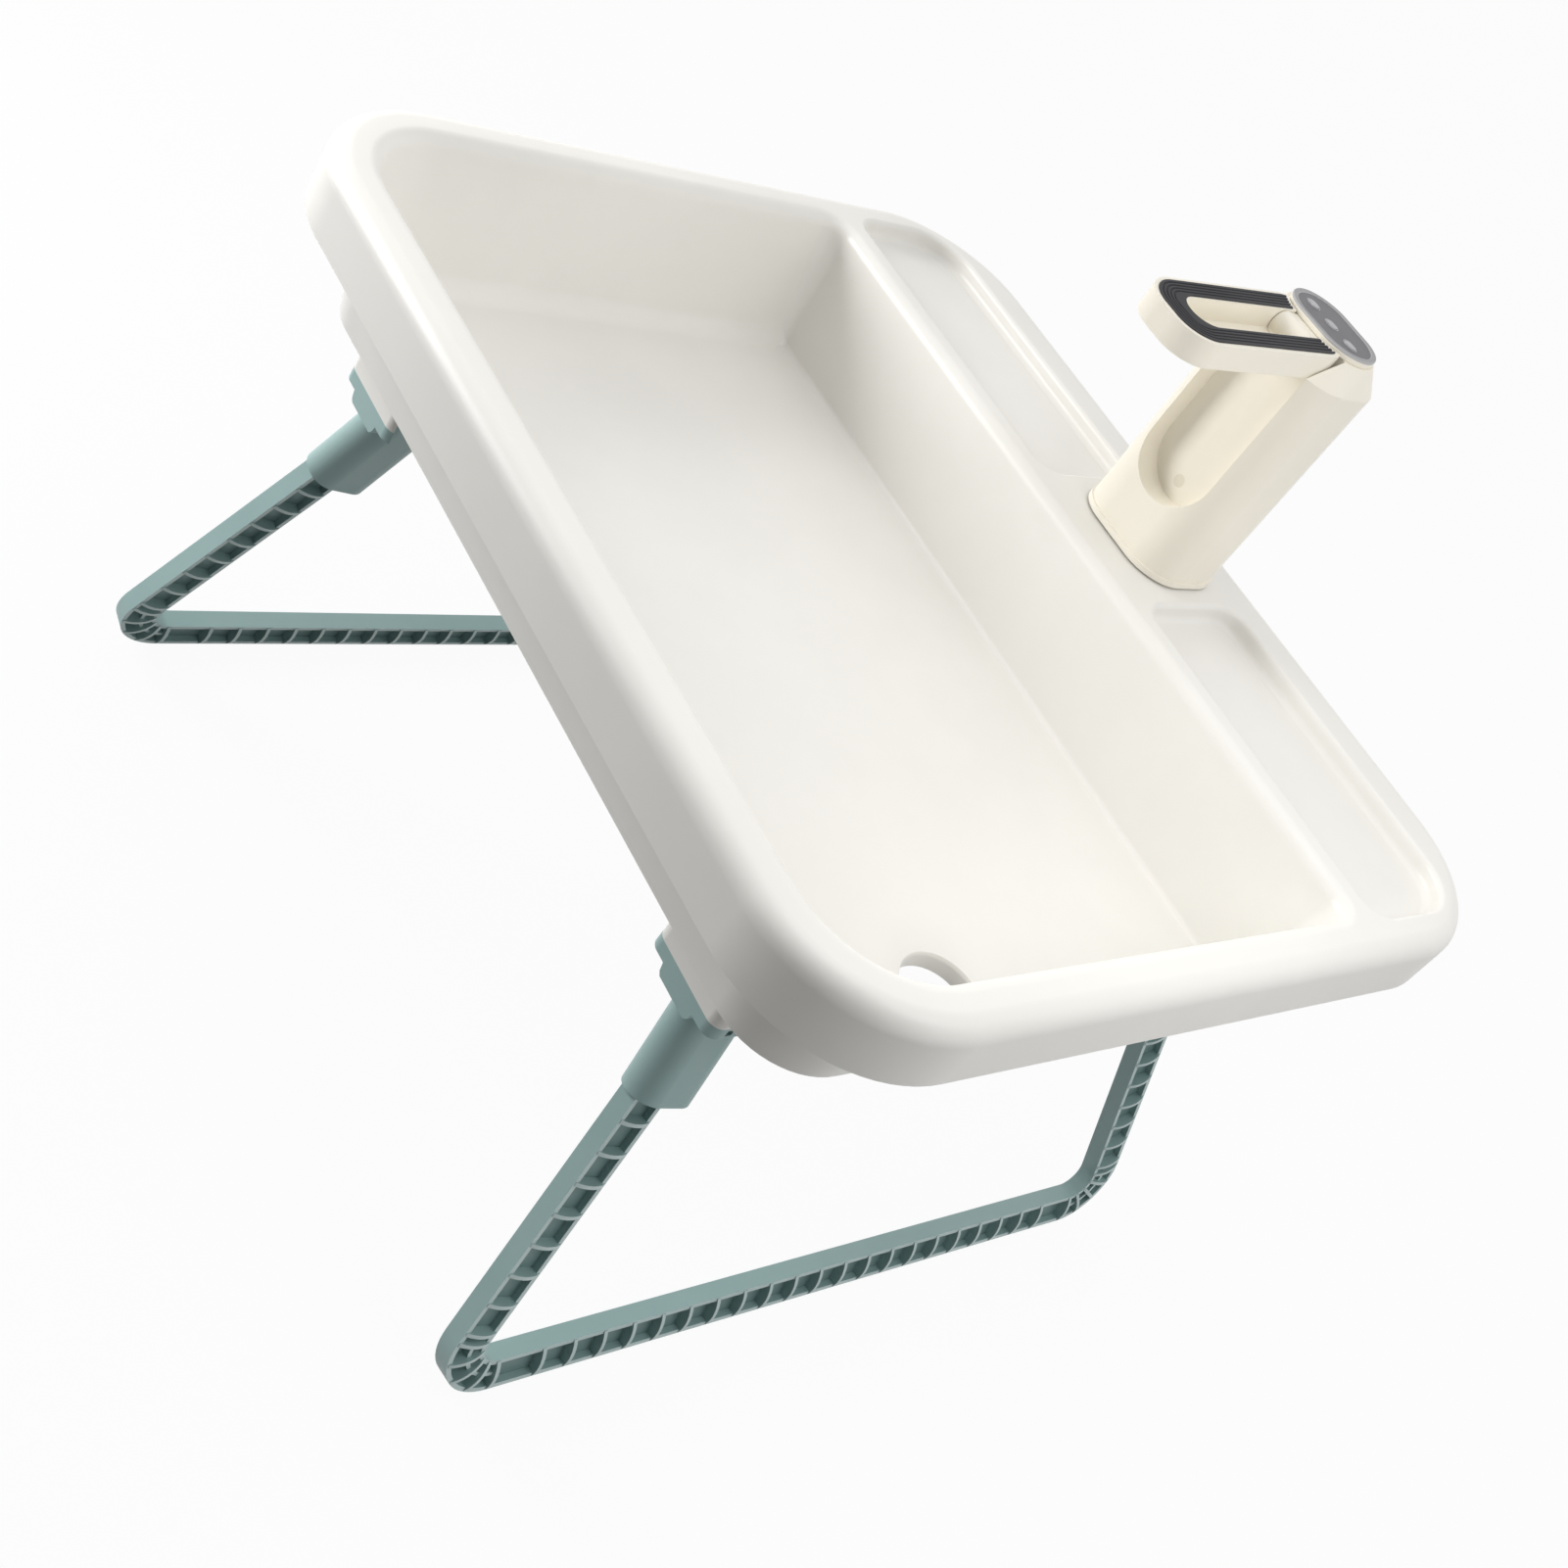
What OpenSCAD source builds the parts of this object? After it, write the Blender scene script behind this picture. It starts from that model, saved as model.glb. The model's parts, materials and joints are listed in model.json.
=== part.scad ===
// Portable camping sink: a shallow moulded basin with a back deck that carries a
// folding electric faucet, on two ribbed U-shaped leg frames that fold under it.
// X runs along the long side, Y from the front to the faucet side, Z up.
// The origin lies on the ground under the middle of the rim.

/* [Basin] */
// Overall length of the rim
rim_l = 480; // [450:5:540]
// Overall width of the rim
rim_w = 407; // [390:1:440]
// Plan radius of the rim's corners
rim_r = 64; // [54:1:74]
// Radius of the rounding along the rim's outer top edge
rim_round = 9; // [5:0.5:12]
// Height of the skirt that hangs from the rim
skirt_h = 30; // [22:1:40]
// Width of the flat band from the rim's outer edge to the basin's mouth
rim_band = 21; // [18:1:26]
// Wall thickness of the moulding
wall = 3; // [2.4:0.1:4]
// Depth from the rim's top to the underside of the tub
tub_depth = 72; // [60:1:90]
// Plan radius of the basin's two front corners at the mouth
tub_r = 45; // [36:1:52]
// Inward lean of the front and end walls, per unit of depth
wall_lean = 0.18; // [0.1:0.01:0.22]
// Lean of the back wall, per unit of depth
back_lean = 0.04; // [0.02:0.01:0.08]

/* [Deck] */
// Distance from the rim's back edge to the basin's back wall
deck_w = 105.5; // [98:0.5:112]
// Width of the ridge between the basin and the trays
ridge_w = 14; // [10:1:18]
// Distance from the rim's back edge to the trays
tray_back = 25; // [20:1:28]
// Distance from the rim's ends to the trays
tray_end = 17.5; // [15:0.5:24]
// Depth of the trays
tray_depth = 9; // [6:0.5:14]
// Plan radius of the trays' corners
tray_r = 12; // [6:1:16]
// Plan radius of the trays' outer back corners
tray_corner = 26; // [18:1:36]
// Width of the flush platform between the trays
platform_w = 86; // [80:1:100]

/* [Drain] */
// Bore of the drain
drain_d = 36; // [28:1:44]
// Outer diameter of the shallow dish round the drain
dish_d = 70; // [56:1:78]
// Depth of the dish
dish_depth = 4; // [2:0.5:6]
// Length of the drain collar under the dish
collar_h = 8; // [5:1:14]
// Drain centre, from the right end of the rim
drain_end = 57.5; // [54:0.5:66]
// Drain centre, in front of the middle
drain_front = 63.5; // [40:0.5:80]

/* [Leg frames] */
// Height of the rim's top over the ground
stand_h = 292; // [270:1:330]
// Outward lean of each leg frame
splay = 14.4; // [8:0.2:18]
// Angle by which each leg spreads away from the other within its frame
flare = 16.2; // [10:0.2:18]
// Distance of each hinge axis from the rim's end
hinge_inset = 88; // [84:1:100]
// Distance of the hinge middle from the rim's long side
hinge_side = 58.5; // [56:0.5:64]
// Shift of both frames towards the back
frame_shift = 4; // [0:0.5:6]
// Width of a leg's section, in the frame's plane
leg_w = 17; // [13:0.2:19]
// Depth of a leg's side walls, across the frame's plane
leg_t = 9; // [8.6:0.2:12]
// Thickness of a leg's side walls
flange_t = 2.2; // [1.6:0.1:3]
// Thickness of the web in the middle of the section
web_t = 2.4; // [1.6:0.1:3.6]
// Radius of the bends, along the middle of the section
bend_r = 18.5; // [16:0.5:21]
// Thickness of a rib
rib_t = 1.8; // [1.2:0.1:2.6]
// Height of a rib over the side walls' edges, at its middle
rib_bulge = 2; // [1:0.1:2.4]
// Spacing of the ribs on the ground bar
bar_pitch = 15.5; // [14:0.1:16]
// Ribs on each side of the bar's middle rib
bar_ribs = 10; // [8:1:10]
// Spacing of the ribs on the legs
leg_pitch = 15.5; // [14:0.1:18]
// Ribs on each leg
leg_ribs = 8; // [5:1:8]
// Distance from the frame's corner to the ribs nearest to it
corner_clear = 30; // [28:1:34]
// Fan ribs in each bend
fan_ribs = 5; // [3:1:6]

/* [Hinges] */
// Height of the white pad over each bracket
pad_h = 16.5; // [14:0.5:24]
// Wall of the pad round the bracket's plate
pad_wall = 2.2; // [2:0.2:3]
// Length of a bracket, along the sink
bracket_l = 46; // [42:1:52]
// Plan radius of a bracket's corners
bracket_r = 6; // [5:0.5:7]
// Distance from the pad's underside to the hinge axis
axis_gap = 4; // [3.5:0.5:5]
// Thickness of a bracket's base plate
plate_t = 2.4; // [2:0.2:3]
// Thickness of a bracket's cheeks under the pad
cheek_t = 5.4; // [5:0.2:7]
// Height of a bracket's rim under the pad
cheek_h = 6; // [5:0.5:8]
// Drop of the cheeks' middle under their rim
boss_h = 5; // [3:0.5:6]
// Half width of the cheeks' middle
boss_w = 10.8; // [9:0.2:13]
// Thickness of a bracket's outer end
end_t = 4.4; // [3.8:0.2:5]
// Width of a leg socket, in the frame's plane
socket_w = 32; // [30:1:34]
// Depth of a leg socket, across the frame's plane
socket_t = 20; // [19:0.5:21]
// Distance from the hinge axis to the socket's lower end
socket_end = 54; // [48:1:64]
// Spread of the sockets, less than that of the legs
socket_lean = 12; // [10:0.5:13]
// Length of leg held at its full section in the socket
grip = 14; // [10:1:20]
// Width of the tenon on the leg's end
tenon_w = 9; // [8:0.5:10]
// Depth of the tenon on the leg's end
tenon_t = 8; // [7:0.5:9]
// Hinge pin diameter
pin_d = 5; // [4:0.5:5]

/* [Faucet body] */
// Width of the faucet's post
post_w = 64; // [62:1:68]
// Depth of the faucet's post
post_d = 55; // [53:1:60]
// Plan radius of the post's corners
post_r = 20; // [18:1:22]
// Wall thickness of the post
post_wall = 2.5; // [2:0.1:3]
// Sideways offset of the faucet from the sink's middle
faucet_x = 3.5; // [0:0.5:6]
// Distance of the faucet's middle from the rim's back edge
faucet_back = 52.5; // [50:0.5:54]
// Thickness of the sealing ring under the faucet
gasket_t = 1; // [0.6:0.1:2]
// Height of the base lip
lip_h = 3; // [2:0.5:5]
// Height of the seam between post and head, over the deck
seam_z = 115; // [112:1:120]
// Height of the head over the seam
head_h = 16; // [15:0.5:18]
// Width of the pocket for the folded arm
pocket_w = 43.6; // [43:0.2:46]
// Depth of the pocket
pocket_d = 14.3; // [13.6:0.1:15]
// Height of the pocket's lower end over the deck
pocket_z = 28; // [20:1:30]

/* [Faucet arm] */
// Width of the arm
arm_w = 42; // [40:0.5:42]
// Thickness of the arm
arm_t = 12; // [11:0.5:12]
// Reach of the arm in front of its hinge axis
arm_reach = 88; // [80:1:90]
// Plan radius of the arm's tip
arm_r = 17; // [14:0.5:19]
// Width of the arm's slot
slot_w = 18; // [16:0.5:19]
// Length of the solid tip in front of the slot
tip_l = 15; // [13:0.5:18]
// Downward tilt of the opened arm
arm_droop = 3; // [0:0.5:5]
// Hinge axis, behind the post's front face
arm_axis_y = 6.5; // [6.4:0.1:7]
// Hinge axis, over the seam
arm_axis_z = 7.4; // [7:0.1:8]
// Arm pin diameter
arm_pin_d = 4; // [3:0.5:4]
// Bore of the water way in the arm
water_d = 4; // [3:0.5:4.5]
// Width of the cream border round the ribbed insert
insert_border = 2; // [1.5:0.5:3]
// Height of the ribbed insert over the arm
insert_rise = 0.6; // [0.3:0.1:1]
// Grooves along the insert
groove_n = 4; // [2:1:5]

/* [Control panel] */
// Length of the control panel
panel_l = 43; // [41:1:44]
// Width of the control panel
panel_w = 28; // [26:1:29]
// Width of the light border round the panel
bezel_w = 3; // [2.5:0.5:3.5]
// Distance of the panel's middle behind the post's middle
panel_back = 3; // [2:0.5:4]
// Spacing of the three keys
key_pitch = 13.5; // [12:0.5:14]
// Travel of a key
key_travel = 0.5; // [0.3:0.1:0.6]

/* [Hidden] */
$fn = 48;

white = [0.93, 0.92, 0.89];
teal = [0.62, 0.73, 0.72];
cream = [0.94, 0.91, 0.84];
charcoal = [0.16, 0.16, 0.17];
grey = [0.49, 0.48, 0.50];
light_grey = [0.72, 0.72, 0.73];
steel = [0.74, 0.75, 0.77];

// A fit between pieces of one body, and a running gap round a pin
fit = 0.05;
run_gap = 0.06;
over = 1;
// A length that runs well past an edge
beyond = 60;

// Heights
rim_z = stand_h;
floor_d = tub_depth - wall;
axis_drop = tub_depth + pad_h + axis_gap;
axis_z = rim_z - axis_drop;

// Plan places
back_y = rim_w / 2 - deck_w;
hinge_x = rim_l / 2 - hinge_inset;
hinge_y = rim_w / 2 - hinge_side;
drain_x = rim_l / 2 - drain_end;
faucet_y = rim_w / 2 - faucet_back;

// Leg frame, in its own plane: Y across, Z up from the hinge axis
foot = leg_w / 2 * cos(splay) + leg_t / 2 * sin(splay);
bar_s = (axis_z - foot) / cos(splay);
bar_y = hinge_y + bar_s * tan(flare);
leg_len = bar_s / cos(flare);
bend_run = bend_r * tan((90 + flare) / 2);
pad_rib_in = 8;
rib_q = (pow(leg_w / 2, 2) + pow(rib_bulge, 2)) / (2 * rib_bulge);
// The frames reach a little past the rim at the back, so the whole is shifted to be centred
fan_step = (90 + flare) / (fan_ribs - 1);
frame_reach = bar_y - bend_run + bend_r + leg_w / 2;
sink_y = (rim_w / 2 - frame_reach - frame_shift) / 2;
rib_clear = 2.5;
bar_count = min(bar_ribs, floor((bar_y - bend_run - bar_pitch - rib_clear) / bar_pitch));
eye_wall = 12;
tenon_top = pin_d / 2 + eye_wall;
shoulder_h = 4;

// Bracket, round its hinge axis
cheek_y = socket_w / 2 + 0.6;
bracket_w = 2 * (cheek_y + cheek_t);
plate_z = socket_t / 2 + 0.6;
recess_z = plate_z + plate_t;
rim_low = axis_gap - cheek_h;
pad_in = bracket_w / 2 - pad_wall;
screw_grip = 6;
pin_end = cheek_y + 3;
screw_x = bracket_l / 2 - pad_wall - 6;
screw_d = 3.4;
screw_head_d = 6.6;
screw_head_h = 1.6;
slot_size = [3.6, 0.8, 1.6];

// The sleeve is upright as far down as the cheeks reach, then it leans outwards
kink = boss_h - rim_low + 1;
mouth_z = kink + (socket_end - kink) * cos(socket_lean);
leg_top = mouth_z - grip;
cone_rise = (bracket_l / 2 + 3 - kink) * tan(socket_lean);
rib_room = leg_len - corner_clear - mouth_z / cos(flare) - rib_clear;
leg_count = min(leg_ribs, floor(rib_room / leg_pitch) + 1);

// Faucet, over its own centre on the deck
axis_fy = -post_d / 2 + arm_axis_y;
axis_fz = seam_z + arm_axis_z;
post_z0 = gasket_t + lip_h;
head_top = seam_z + head_h;
in_w = post_w - 2 * post_wall;
in_d = post_d - 2 * post_wall;
in_r = post_r - post_wall;
base_top = post_z0 + 4;
plug_gap = 0.15;
spigot_d = 22;
thread_l = 16;
tail_l = 40;
tail_d = 9;
barb_l = tail_l / 8;
nut_h = 8;
nut_w = 34;
screw_bite = 8;
post_boss_h = screw_bite + 6;
boss_d = 9;
boss_out = 10.1;
corner_at = [in_w / 2 - in_r + boss_out, in_d / 2 - in_r + boss_out];
side_in = 3.6;
side_front = 5;
side_at = [in_w / 2 - side_in, -side_front];
boss_at = [corner_at, [-corner_at[0], corner_at[1]], side_at, [-side_at[0], side_at[1]]];
magnet_z = pocket_z + 9;
magnet_d = 6;
magnet_t = 1.5;
pocket_floor = -post_d / 2 + pocket_d;
pump_r = 11;
pump_h = 34;
outlet_h = 5;
pump_at = [10, 6];
cell_r = 9.2;
cell_h = 65;
cell_at = [-12, 8];
tube_r = 3.5;
board_t = 1.6;
board_w = in_w - 2 * in_r - 0.5;
board_h = cell_h - 3;
port_w = 9;
port_h = 3.4;
panel_t = 1.4;
bezel_h = 3.4;
board_z = head_top - bezel_h - board_t;
port_z = 22;
knuckle_w = slot_w - 1;
knuckle_r = arm_t / 2 - 0.2;
rear_gap = 0.7;
neck_in = 3.4;
arm_rear = 13;
arm_tail = 20;
head_floor = 0.8;
board_in = 7;
block_l = panel_back - (panel_w - board_in) / 2 - 0.15 - axis_fy;
knuckle_front = -arm_t / 2 - 1;
pin_l = arm_w - 6;
water_x = slot_w / 2 + 4;
nozzle_d = 8;
nozzle_in = 4;
nozzle_y = -arm_reach + 9.9;
tip_magnet_d = 3.6;
tip_magnet_t = 0.9;
tip_magnet_y = -arm_reach + 3.2;
insert_t = 1.4;
groove_w = 0.7;
key_l = 6.5;
key_w = 4.5;
key_back = -2.5;
key_gap = 0.15;
panel_sink = 0.3;

module along_x(len) rotate([90, 0, 90]) linear_extrude(len, center = true) children();
module along_y(len) rotate([90, 0, 0]) linear_extrude(len, center = true) children();

module rounded_rect(w, h, r) {
    square([w - 2 * r, h], center = true);
    square([w, h - 2 * r], center = true);
    for (sx = [-1, 1], sy = [-1, 1])
        translate([sx * (w / 2 - r), sy * (h / 2 - r)]) circle(r);
}

// An oval of two end arcs and two flat sides, longer along X
module oval(w, h) {
    square([w - h, h], center = true);
    for (s = [-1, 1]) translate([s * (w - h) / 2, 0]) circle(h / 2);
}

// Plate with its top at z = 0, round plan corners and a round top edge
module soft_plate(l, w, r, h, edge) {
    along_x(l - 2 * r) soft_bar(w, h, edge);
    along_y(w - 2 * r) soft_bar(l, h, edge);
    for (sx = [-1, 1], sy = [-1, 1])
        translate([sx * (l / 2 - r), sy * (w / 2 - r), 0])
            rotate_extrude() soft_half(r, h, edge);
}

module soft_bar(w, h, edge) {
    translate([-w / 2, -h]) square([w, h - edge]);
    translate([-w / 2 + edge, -edge - 0.01]) square([w - 2 * edge, edge + 0.01]);
    for (s = [-1, 1]) translate([s * (w / 2 - edge), -edge]) circle(edge);
}

module soft_half(r, h, edge) {
    translate([0, -h]) square([r, h - edge]);
    translate([0, -edge - 0.01]) square([r - edge, edge + 0.01]);
    translate([r - edge, -edge]) circle(edge);
}

// The basin's walls lean: half length and front place at a depth, pushed out by o
function end_x(d, o) = rim_l / 2 - rim_band + o - wall_lean * d;
function front_y(d, o) = -(rim_w / 2 - rim_band + o) + wall_lean * d;
function wall_y(d, o) = back_y + o - back_lean * d;

// Tub form with round front corners, from depth d0 to d1, up to a back line
module tub_form(o, d0, d1, b0, b1) {
    cx = rim_l / 2 - rim_band - tub_r;
    cy = -(rim_w / 2 - rim_band) + tub_r;
    along_x(2 * cx) polygon([
        [front_y(d0, o), -d0], [b0, -d0], [b1, -d1], [front_y(d1, o), -d1]
    ]);
    intersection() {
        along_x(rim_l) polygon([[cy, -d0], [b0, -d0], [b1, -d1], [cy, -d1]]);
        along_y(rim_w) polygon([
            [-end_x(d0, o), -d0], [end_x(d0, o), -d0], [end_x(d1, o), -d1], [-end_x(d1, o), -d1]
        ]);
    }
    for (s = [-1, 1]) translate([s * cx, cy, -d1])
        cylinder(h = d1 - d0, r1 = tub_r + o - wall_lean * d1, r2 = tub_r + o - wall_lean * d0);
}

// Lower body, the same shape at the front and at the back
module lower_body(o, d0, d1) {
    tub_form(o, d0, d1, 0, 0);
    mirror([0, 1, 0]) tub_form(o, d0, d1, 0, 0);
}

// Tray plan: three overlapping rounded plates give each corner its own radius
module tray_plan(side, o) {
    inner = platform_w / 2 + side * faucet_x - o;
    front = back_y + ridge_w - o;
    back = rim_w / 2 - tray_back + o;
    far = rim_l / 2 - tray_end + o;
    intersection() {
        corner_plate(side, [inner, far + beyond], [front, back], tray_r + o);
        corner_plate(side, [inner - beyond, far], [front - beyond, back], tray_corner + o);
        corner_plate(side, [inner - beyond, far], [front, back + beyond], tray_r + o);
    }
}

module corner_plate(side, xs, ys, r)
    translate([side * (xs[0] + xs[1]) / 2, (ys[0] + ys[1]) / 2])
        rounded_rect(xs[1] - xs[0], ys[1] - ys[0], r);

module trays(o, z0, z1) {
    for (side = [-1, 1]) translate([0, 0, z0]) linear_extrude(z1 - z0) tray_plan(side, o);
}

module pad_plan(o) rounded_rect(bracket_l + 2 * o, bracket_w + 2 * o, bracket_r + o);

// Pads that carry the brackets; at the back they hang on ribs under the deck
module pads() {
    for (sx = [-1, 1], sy = [-1, 1])
        translate([sx * hinge_x, sy * hinge_y + frame_shift, -tub_depth - pad_h])
            linear_extrude(pad_h + (sy < 0 ? wall / 2 : 2 * wall)) pad_plan(0);
    intersection() {
        lower_body(wall / 2, tray_depth + wall / 2, tub_depth);
        for (sx = [-1, 1], s = [-1, 1])
            translate([sx * hinge_x + s * (bracket_l / 2 - pad_rib_in), back_y + wall / 2 + rim_w / 2, 0])
                cube([wall, rim_w, 4 * tub_depth], center = true);
    }
}

module basin() color(white) translate([0, sink_y, rim_z]) difference() {
    union() {
        difference() {
            soft_plate(rim_l, rim_w, rim_r, skirt_h, rim_round);
            translate([0, 0, -wall])
                soft_plate(rim_l - 2 * wall, rim_w - 2 * wall, rim_r - wall, skirt_h, rim_round - wall);
        }
        difference() {
            lower_body(wall, wall / 2, tub_depth);
            intersection() {
                lower_body(0, wall, tub_depth + over);
                translate([0, back_y + wall + rim_w / 2, 0])
                    cube([rim_l, rim_w, 4 * tub_depth], center = true);
            }
        }
        trays(wall, -tray_depth - wall, -wall / 2);
        pads();
        translate([drain_x, -drain_front, -floor_d - dish_depth - collar_h])
            cylinder(h = dish_depth + collar_h - wall / 2, d = drain_d + 2 * wall + 2);
        translate([drain_x, -drain_front, -floor_d - dish_depth - wall])
            cylinder(h = dish_depth + wall / 2, d1 = drain_d + 2 * wall + 2, d2 = dish_d + 2 * wall);
    }
    tub_form(0, -over, floor_d, wall_y(-over, 0), wall_y(floor_d, 0));
    trays(0, -tray_depth, over);
    translate([drain_x, -drain_front, -tub_depth - 4 * collar_h]) cylinder(h = 6 * collar_h, d = drain_d);
    intersection() {
        translate([drain_x, -drain_front, -floor_d - dish_depth])
            cylinder(h = dish_depth, d1 = drain_d, d2 = dish_d);
        tub_form(0, floor_d - over, floor_d + 2 * dish_depth, 0, 0);
    }
    translate([faucet_x, faucet_y, -2 * wall]) cylinder(h = 3 * wall, d = spigot_d + 2 * fit);
    for (sx = [-1, 1], sy = [-1, 1])
        translate([sx * hinge_x, sy * hinge_y + frame_shift, -axis_drop]) bracket_recess(sx);
}

// Room for a bracket in its pad: a pocket that is open towards the sink's middle
module bracket_recess(sx) {
    translate([0, 0, -pad_h]) linear_extrude(pad_h + recess_z) pad_plan(-pad_wall);
    translate([-sx * bracket_l / 2, 0, (recess_z - pad_h) / 2])
        cube([bracket_l, 2 * pad_in, recess_z + pad_h], center = true);
    for (s = [-1, 1]) translate([s * screw_x, 0, 0])
        cylinder(h = recess_z + screw_grip + 0.5, d = screw_d + 2 * fit);
}

// Places a piece that is drawn round its hinge axis at one of the four hinges
module at_hinge(sx, sy) translate([sx * hinge_x, sy * hinge_y + frame_shift + sink_y, axis_z]) children();

module bracket(sx, sy) color(teal) at_hinge(sx, sy) difference() {
    union() {
        translate([0, 0, rim_low]) linear_extrude(cheek_h) pad_plan(0);
        translate([0, 0, axis_gap - over]) linear_extrude(recess_z - axis_gap + over)
            pad_plan(-pad_wall - fit);
        for (s = [-1, 1]) translate([0, s * (cheek_y + cheek_t / 2), 0]) along_y(cheek_t) polygon([
            [-boss_w - 1, rim_low + 1], [-boss_w - 1, rim_low], [-boss_w, rim_low - boss_h + 1.5],
            [-boss_w + 1.5, rim_low - boss_h], [boss_w - 1.5, rim_low - boss_h],
            [boss_w, rim_low - boss_h + 1.5], [boss_w + 1, rim_low], [boss_w + 1, rim_low + 1]
        ]);
    }
    translate([-sx * (bracket_l / 2 + end_t), 0, 0])
        cube([2 * bracket_l, 2 * cheek_y, 2 * plate_z], center = true);
    swing_room(sx, sy);
    for (s = [-1, 1]) {
        translate([sx * bracket_l / 2, s * (cheek_y - 4), rim_low + 3])
            cube([4 * end_t, 3, 3], center = true);
        translate([s * screw_x, 0, plate_z - over]) {
            cylinder(h = plate_t + 2 * over, d = screw_d + 2 * fit);
            cylinder(h = over + screw_head_h, d = screw_head_d + 2 * fit);
        }
    }
    along_y(2 * (pin_end + fit)) circle(pin_d / 2 + fit);
}

// Room in the outer cheek for the leaning sleeve as it swings inwards
module swing_room(sx, sy) intersection() {
    translate([0, sy * cheek_y, 0]) rotate([-sy * 90, 0, 0]) difference() {
        translate([0, 0, -0.01]) cylinder(h = cone_rise, r = bracket_l);
        translate([0, 0, -0.02])
            cylinder(h = cone_rise + 0.04, r1 = kink, r2 = kink + cone_rise / tan(socket_lean));
    }
    translate([-sx * (beyond - socket_t / 2 - 3), 0, plate_z - beyond])
        cube(2 * beyond, center = true);
}

module bracket_left_front() bracket(-1, -1);
module bracket_left_back() bracket(-1, 1);
module bracket_right_front() bracket(1, -1);
module bracket_right_back() bracket(1, 1);

module bracket_screws() color(steel)
    for (sx = [-1, 1], sy = [-1, 1], s = [-1, 1]) at_hinge(sx, sy) translate([s * screw_x, 0, plate_z])
        difference() {
            union() {
                cylinder(h = screw_head_h, d = screw_head_d);
                cylinder(h = plate_t + screw_grip, d = screw_d);
            }
            for (a = [0, 90]) rotate(a) cube(slot_size, center = true);
        }

// Hinge pins end inside the cheeks
module hinge_pin(sx, sy) color(steel) at_hinge(sx, sy) along_y(2 * pin_end) circle(d = pin_d);

module left_hinge_pins() for (sy = [-1, 1]) hinge_pin(-1, sy);
module right_hinge_pins() for (sy = [-1, 1]) hinge_pin(1, sy);

// Places a frame that is drawn upright round its hinge axis
module at_frame(sx)
    translate([sx * hinge_x, frame_shift + sink_y, axis_z]) rotate([0, -sx * splay, 0]) children();

// Area inside the frame's line, moved outwards by b, up to the legs' full section
module frame_area(b) difference() {
    r = bend_r + b;
    c = [bar_y - bend_run, -bar_s + bend_r];
    t = [c[0] + r * cos(flare), c[1] + r * sin(flare)];
    h = [hinge_y + b / cos(flare), 0];
    union() {
        polygon([[-h[0], h[1]], [-t[0], t[1]], [-c[0], c[1]], [-c[0], c[1] - r],
                 [c[0], c[1] - r], c, t, h]);
        for (s = [-1, 1]) translate([s * c[0], c[1]]) circle(r);
    }
    translate([0, leg_top]) square([4 * bar_y, 4 * leg_top], center = true);
}

module frame_strip(a, b) difference() {
    frame_area(b);
    frame_area(a);
}

// Rib across the section: arched over the open faces, its ends let into the walls
module rib_plan(len) intersection() {
    translate([rib_q - leg_t / 2 - rib_bulge, 0]) circle(rib_q);
    translate([-(rib_q - leg_t / 2 - rib_bulge), 0]) circle(rib_q);
    square([2 * leg_t, len - flange_t / 2], center = true);
}

module rib() linear_extrude(rib_t, center = true) rib_plan(leg_w);

module leg_frame(sx) color(teal) at_frame(sx) {
    along_x(leg_t) frame_strip(leg_w / 2 - flange_t, leg_w / 2);
    along_x(leg_t) frame_strip(-leg_w / 2, -leg_w / 2 + flange_t);
    along_x(web_t) frame_strip(-leg_w / 2 + flange_t / 2, leg_w / 2 - flange_t / 2);
    along_x(leg_t) frame_hub();
    for (i = [-bar_count : bar_count]) translate([0, i * bar_pitch, -bar_s]) rotate([90, 0, 0]) rib();
    for (s = [0, 1]) mirror([0, s, 0]) {
        for (i = [0 : leg_count - 1])
            translate([0, hinge_y, 0]) rotate([flare, 0, 0])
                translate([0, 0, -leg_len + corner_clear + i * leg_pitch]) rib();
        for (i = [0 : fan_ribs - 1])
            translate([0, bar_y - bend_run, -bar_s + bend_r])
                rotate([fan_step * i - 90, 0, 0])
                    translate([0, bend_r, 0]) rib();
        translate([0, hinge_y, 0]) rotate([flare, 0, 0]) {
            translate([0, 0, -(leg_top / cos(flare) + shoulder_h + tenon_top) / 2])
                cube([tenon_t, tenon_w, leg_top / cos(flare) + shoulder_h - tenon_top], center = true);
            translate([0, 0, -leg_top / cos(flare) - leg_w / 2 * tan(flare) - shoulder_h / 2])
                cube([leg_t, leg_w, shoulder_h], center = true);
        }
    }
}

// Low wall that follows each bend in the middle of the section
module frame_hub() for (s = [0, 1]) mirror([s, 0]) translate([bar_y - bend_run, -bar_s + bend_r])
    intersection() {
        difference() {
            circle(bend_r - 1 + rib_t / 2);
            circle(bend_r - 1 - rib_t / 2);
        }
        polygon([[0, 0], [0, -beyond], [beyond, -beyond], [beyond, beyond * tan(flare)]]);
    }

module left_leg_frame() leg_frame(-1);
module right_leg_frame() leg_frame(1);

module socket_plan() rotate(90) oval(socket_w, socket_t);

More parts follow.
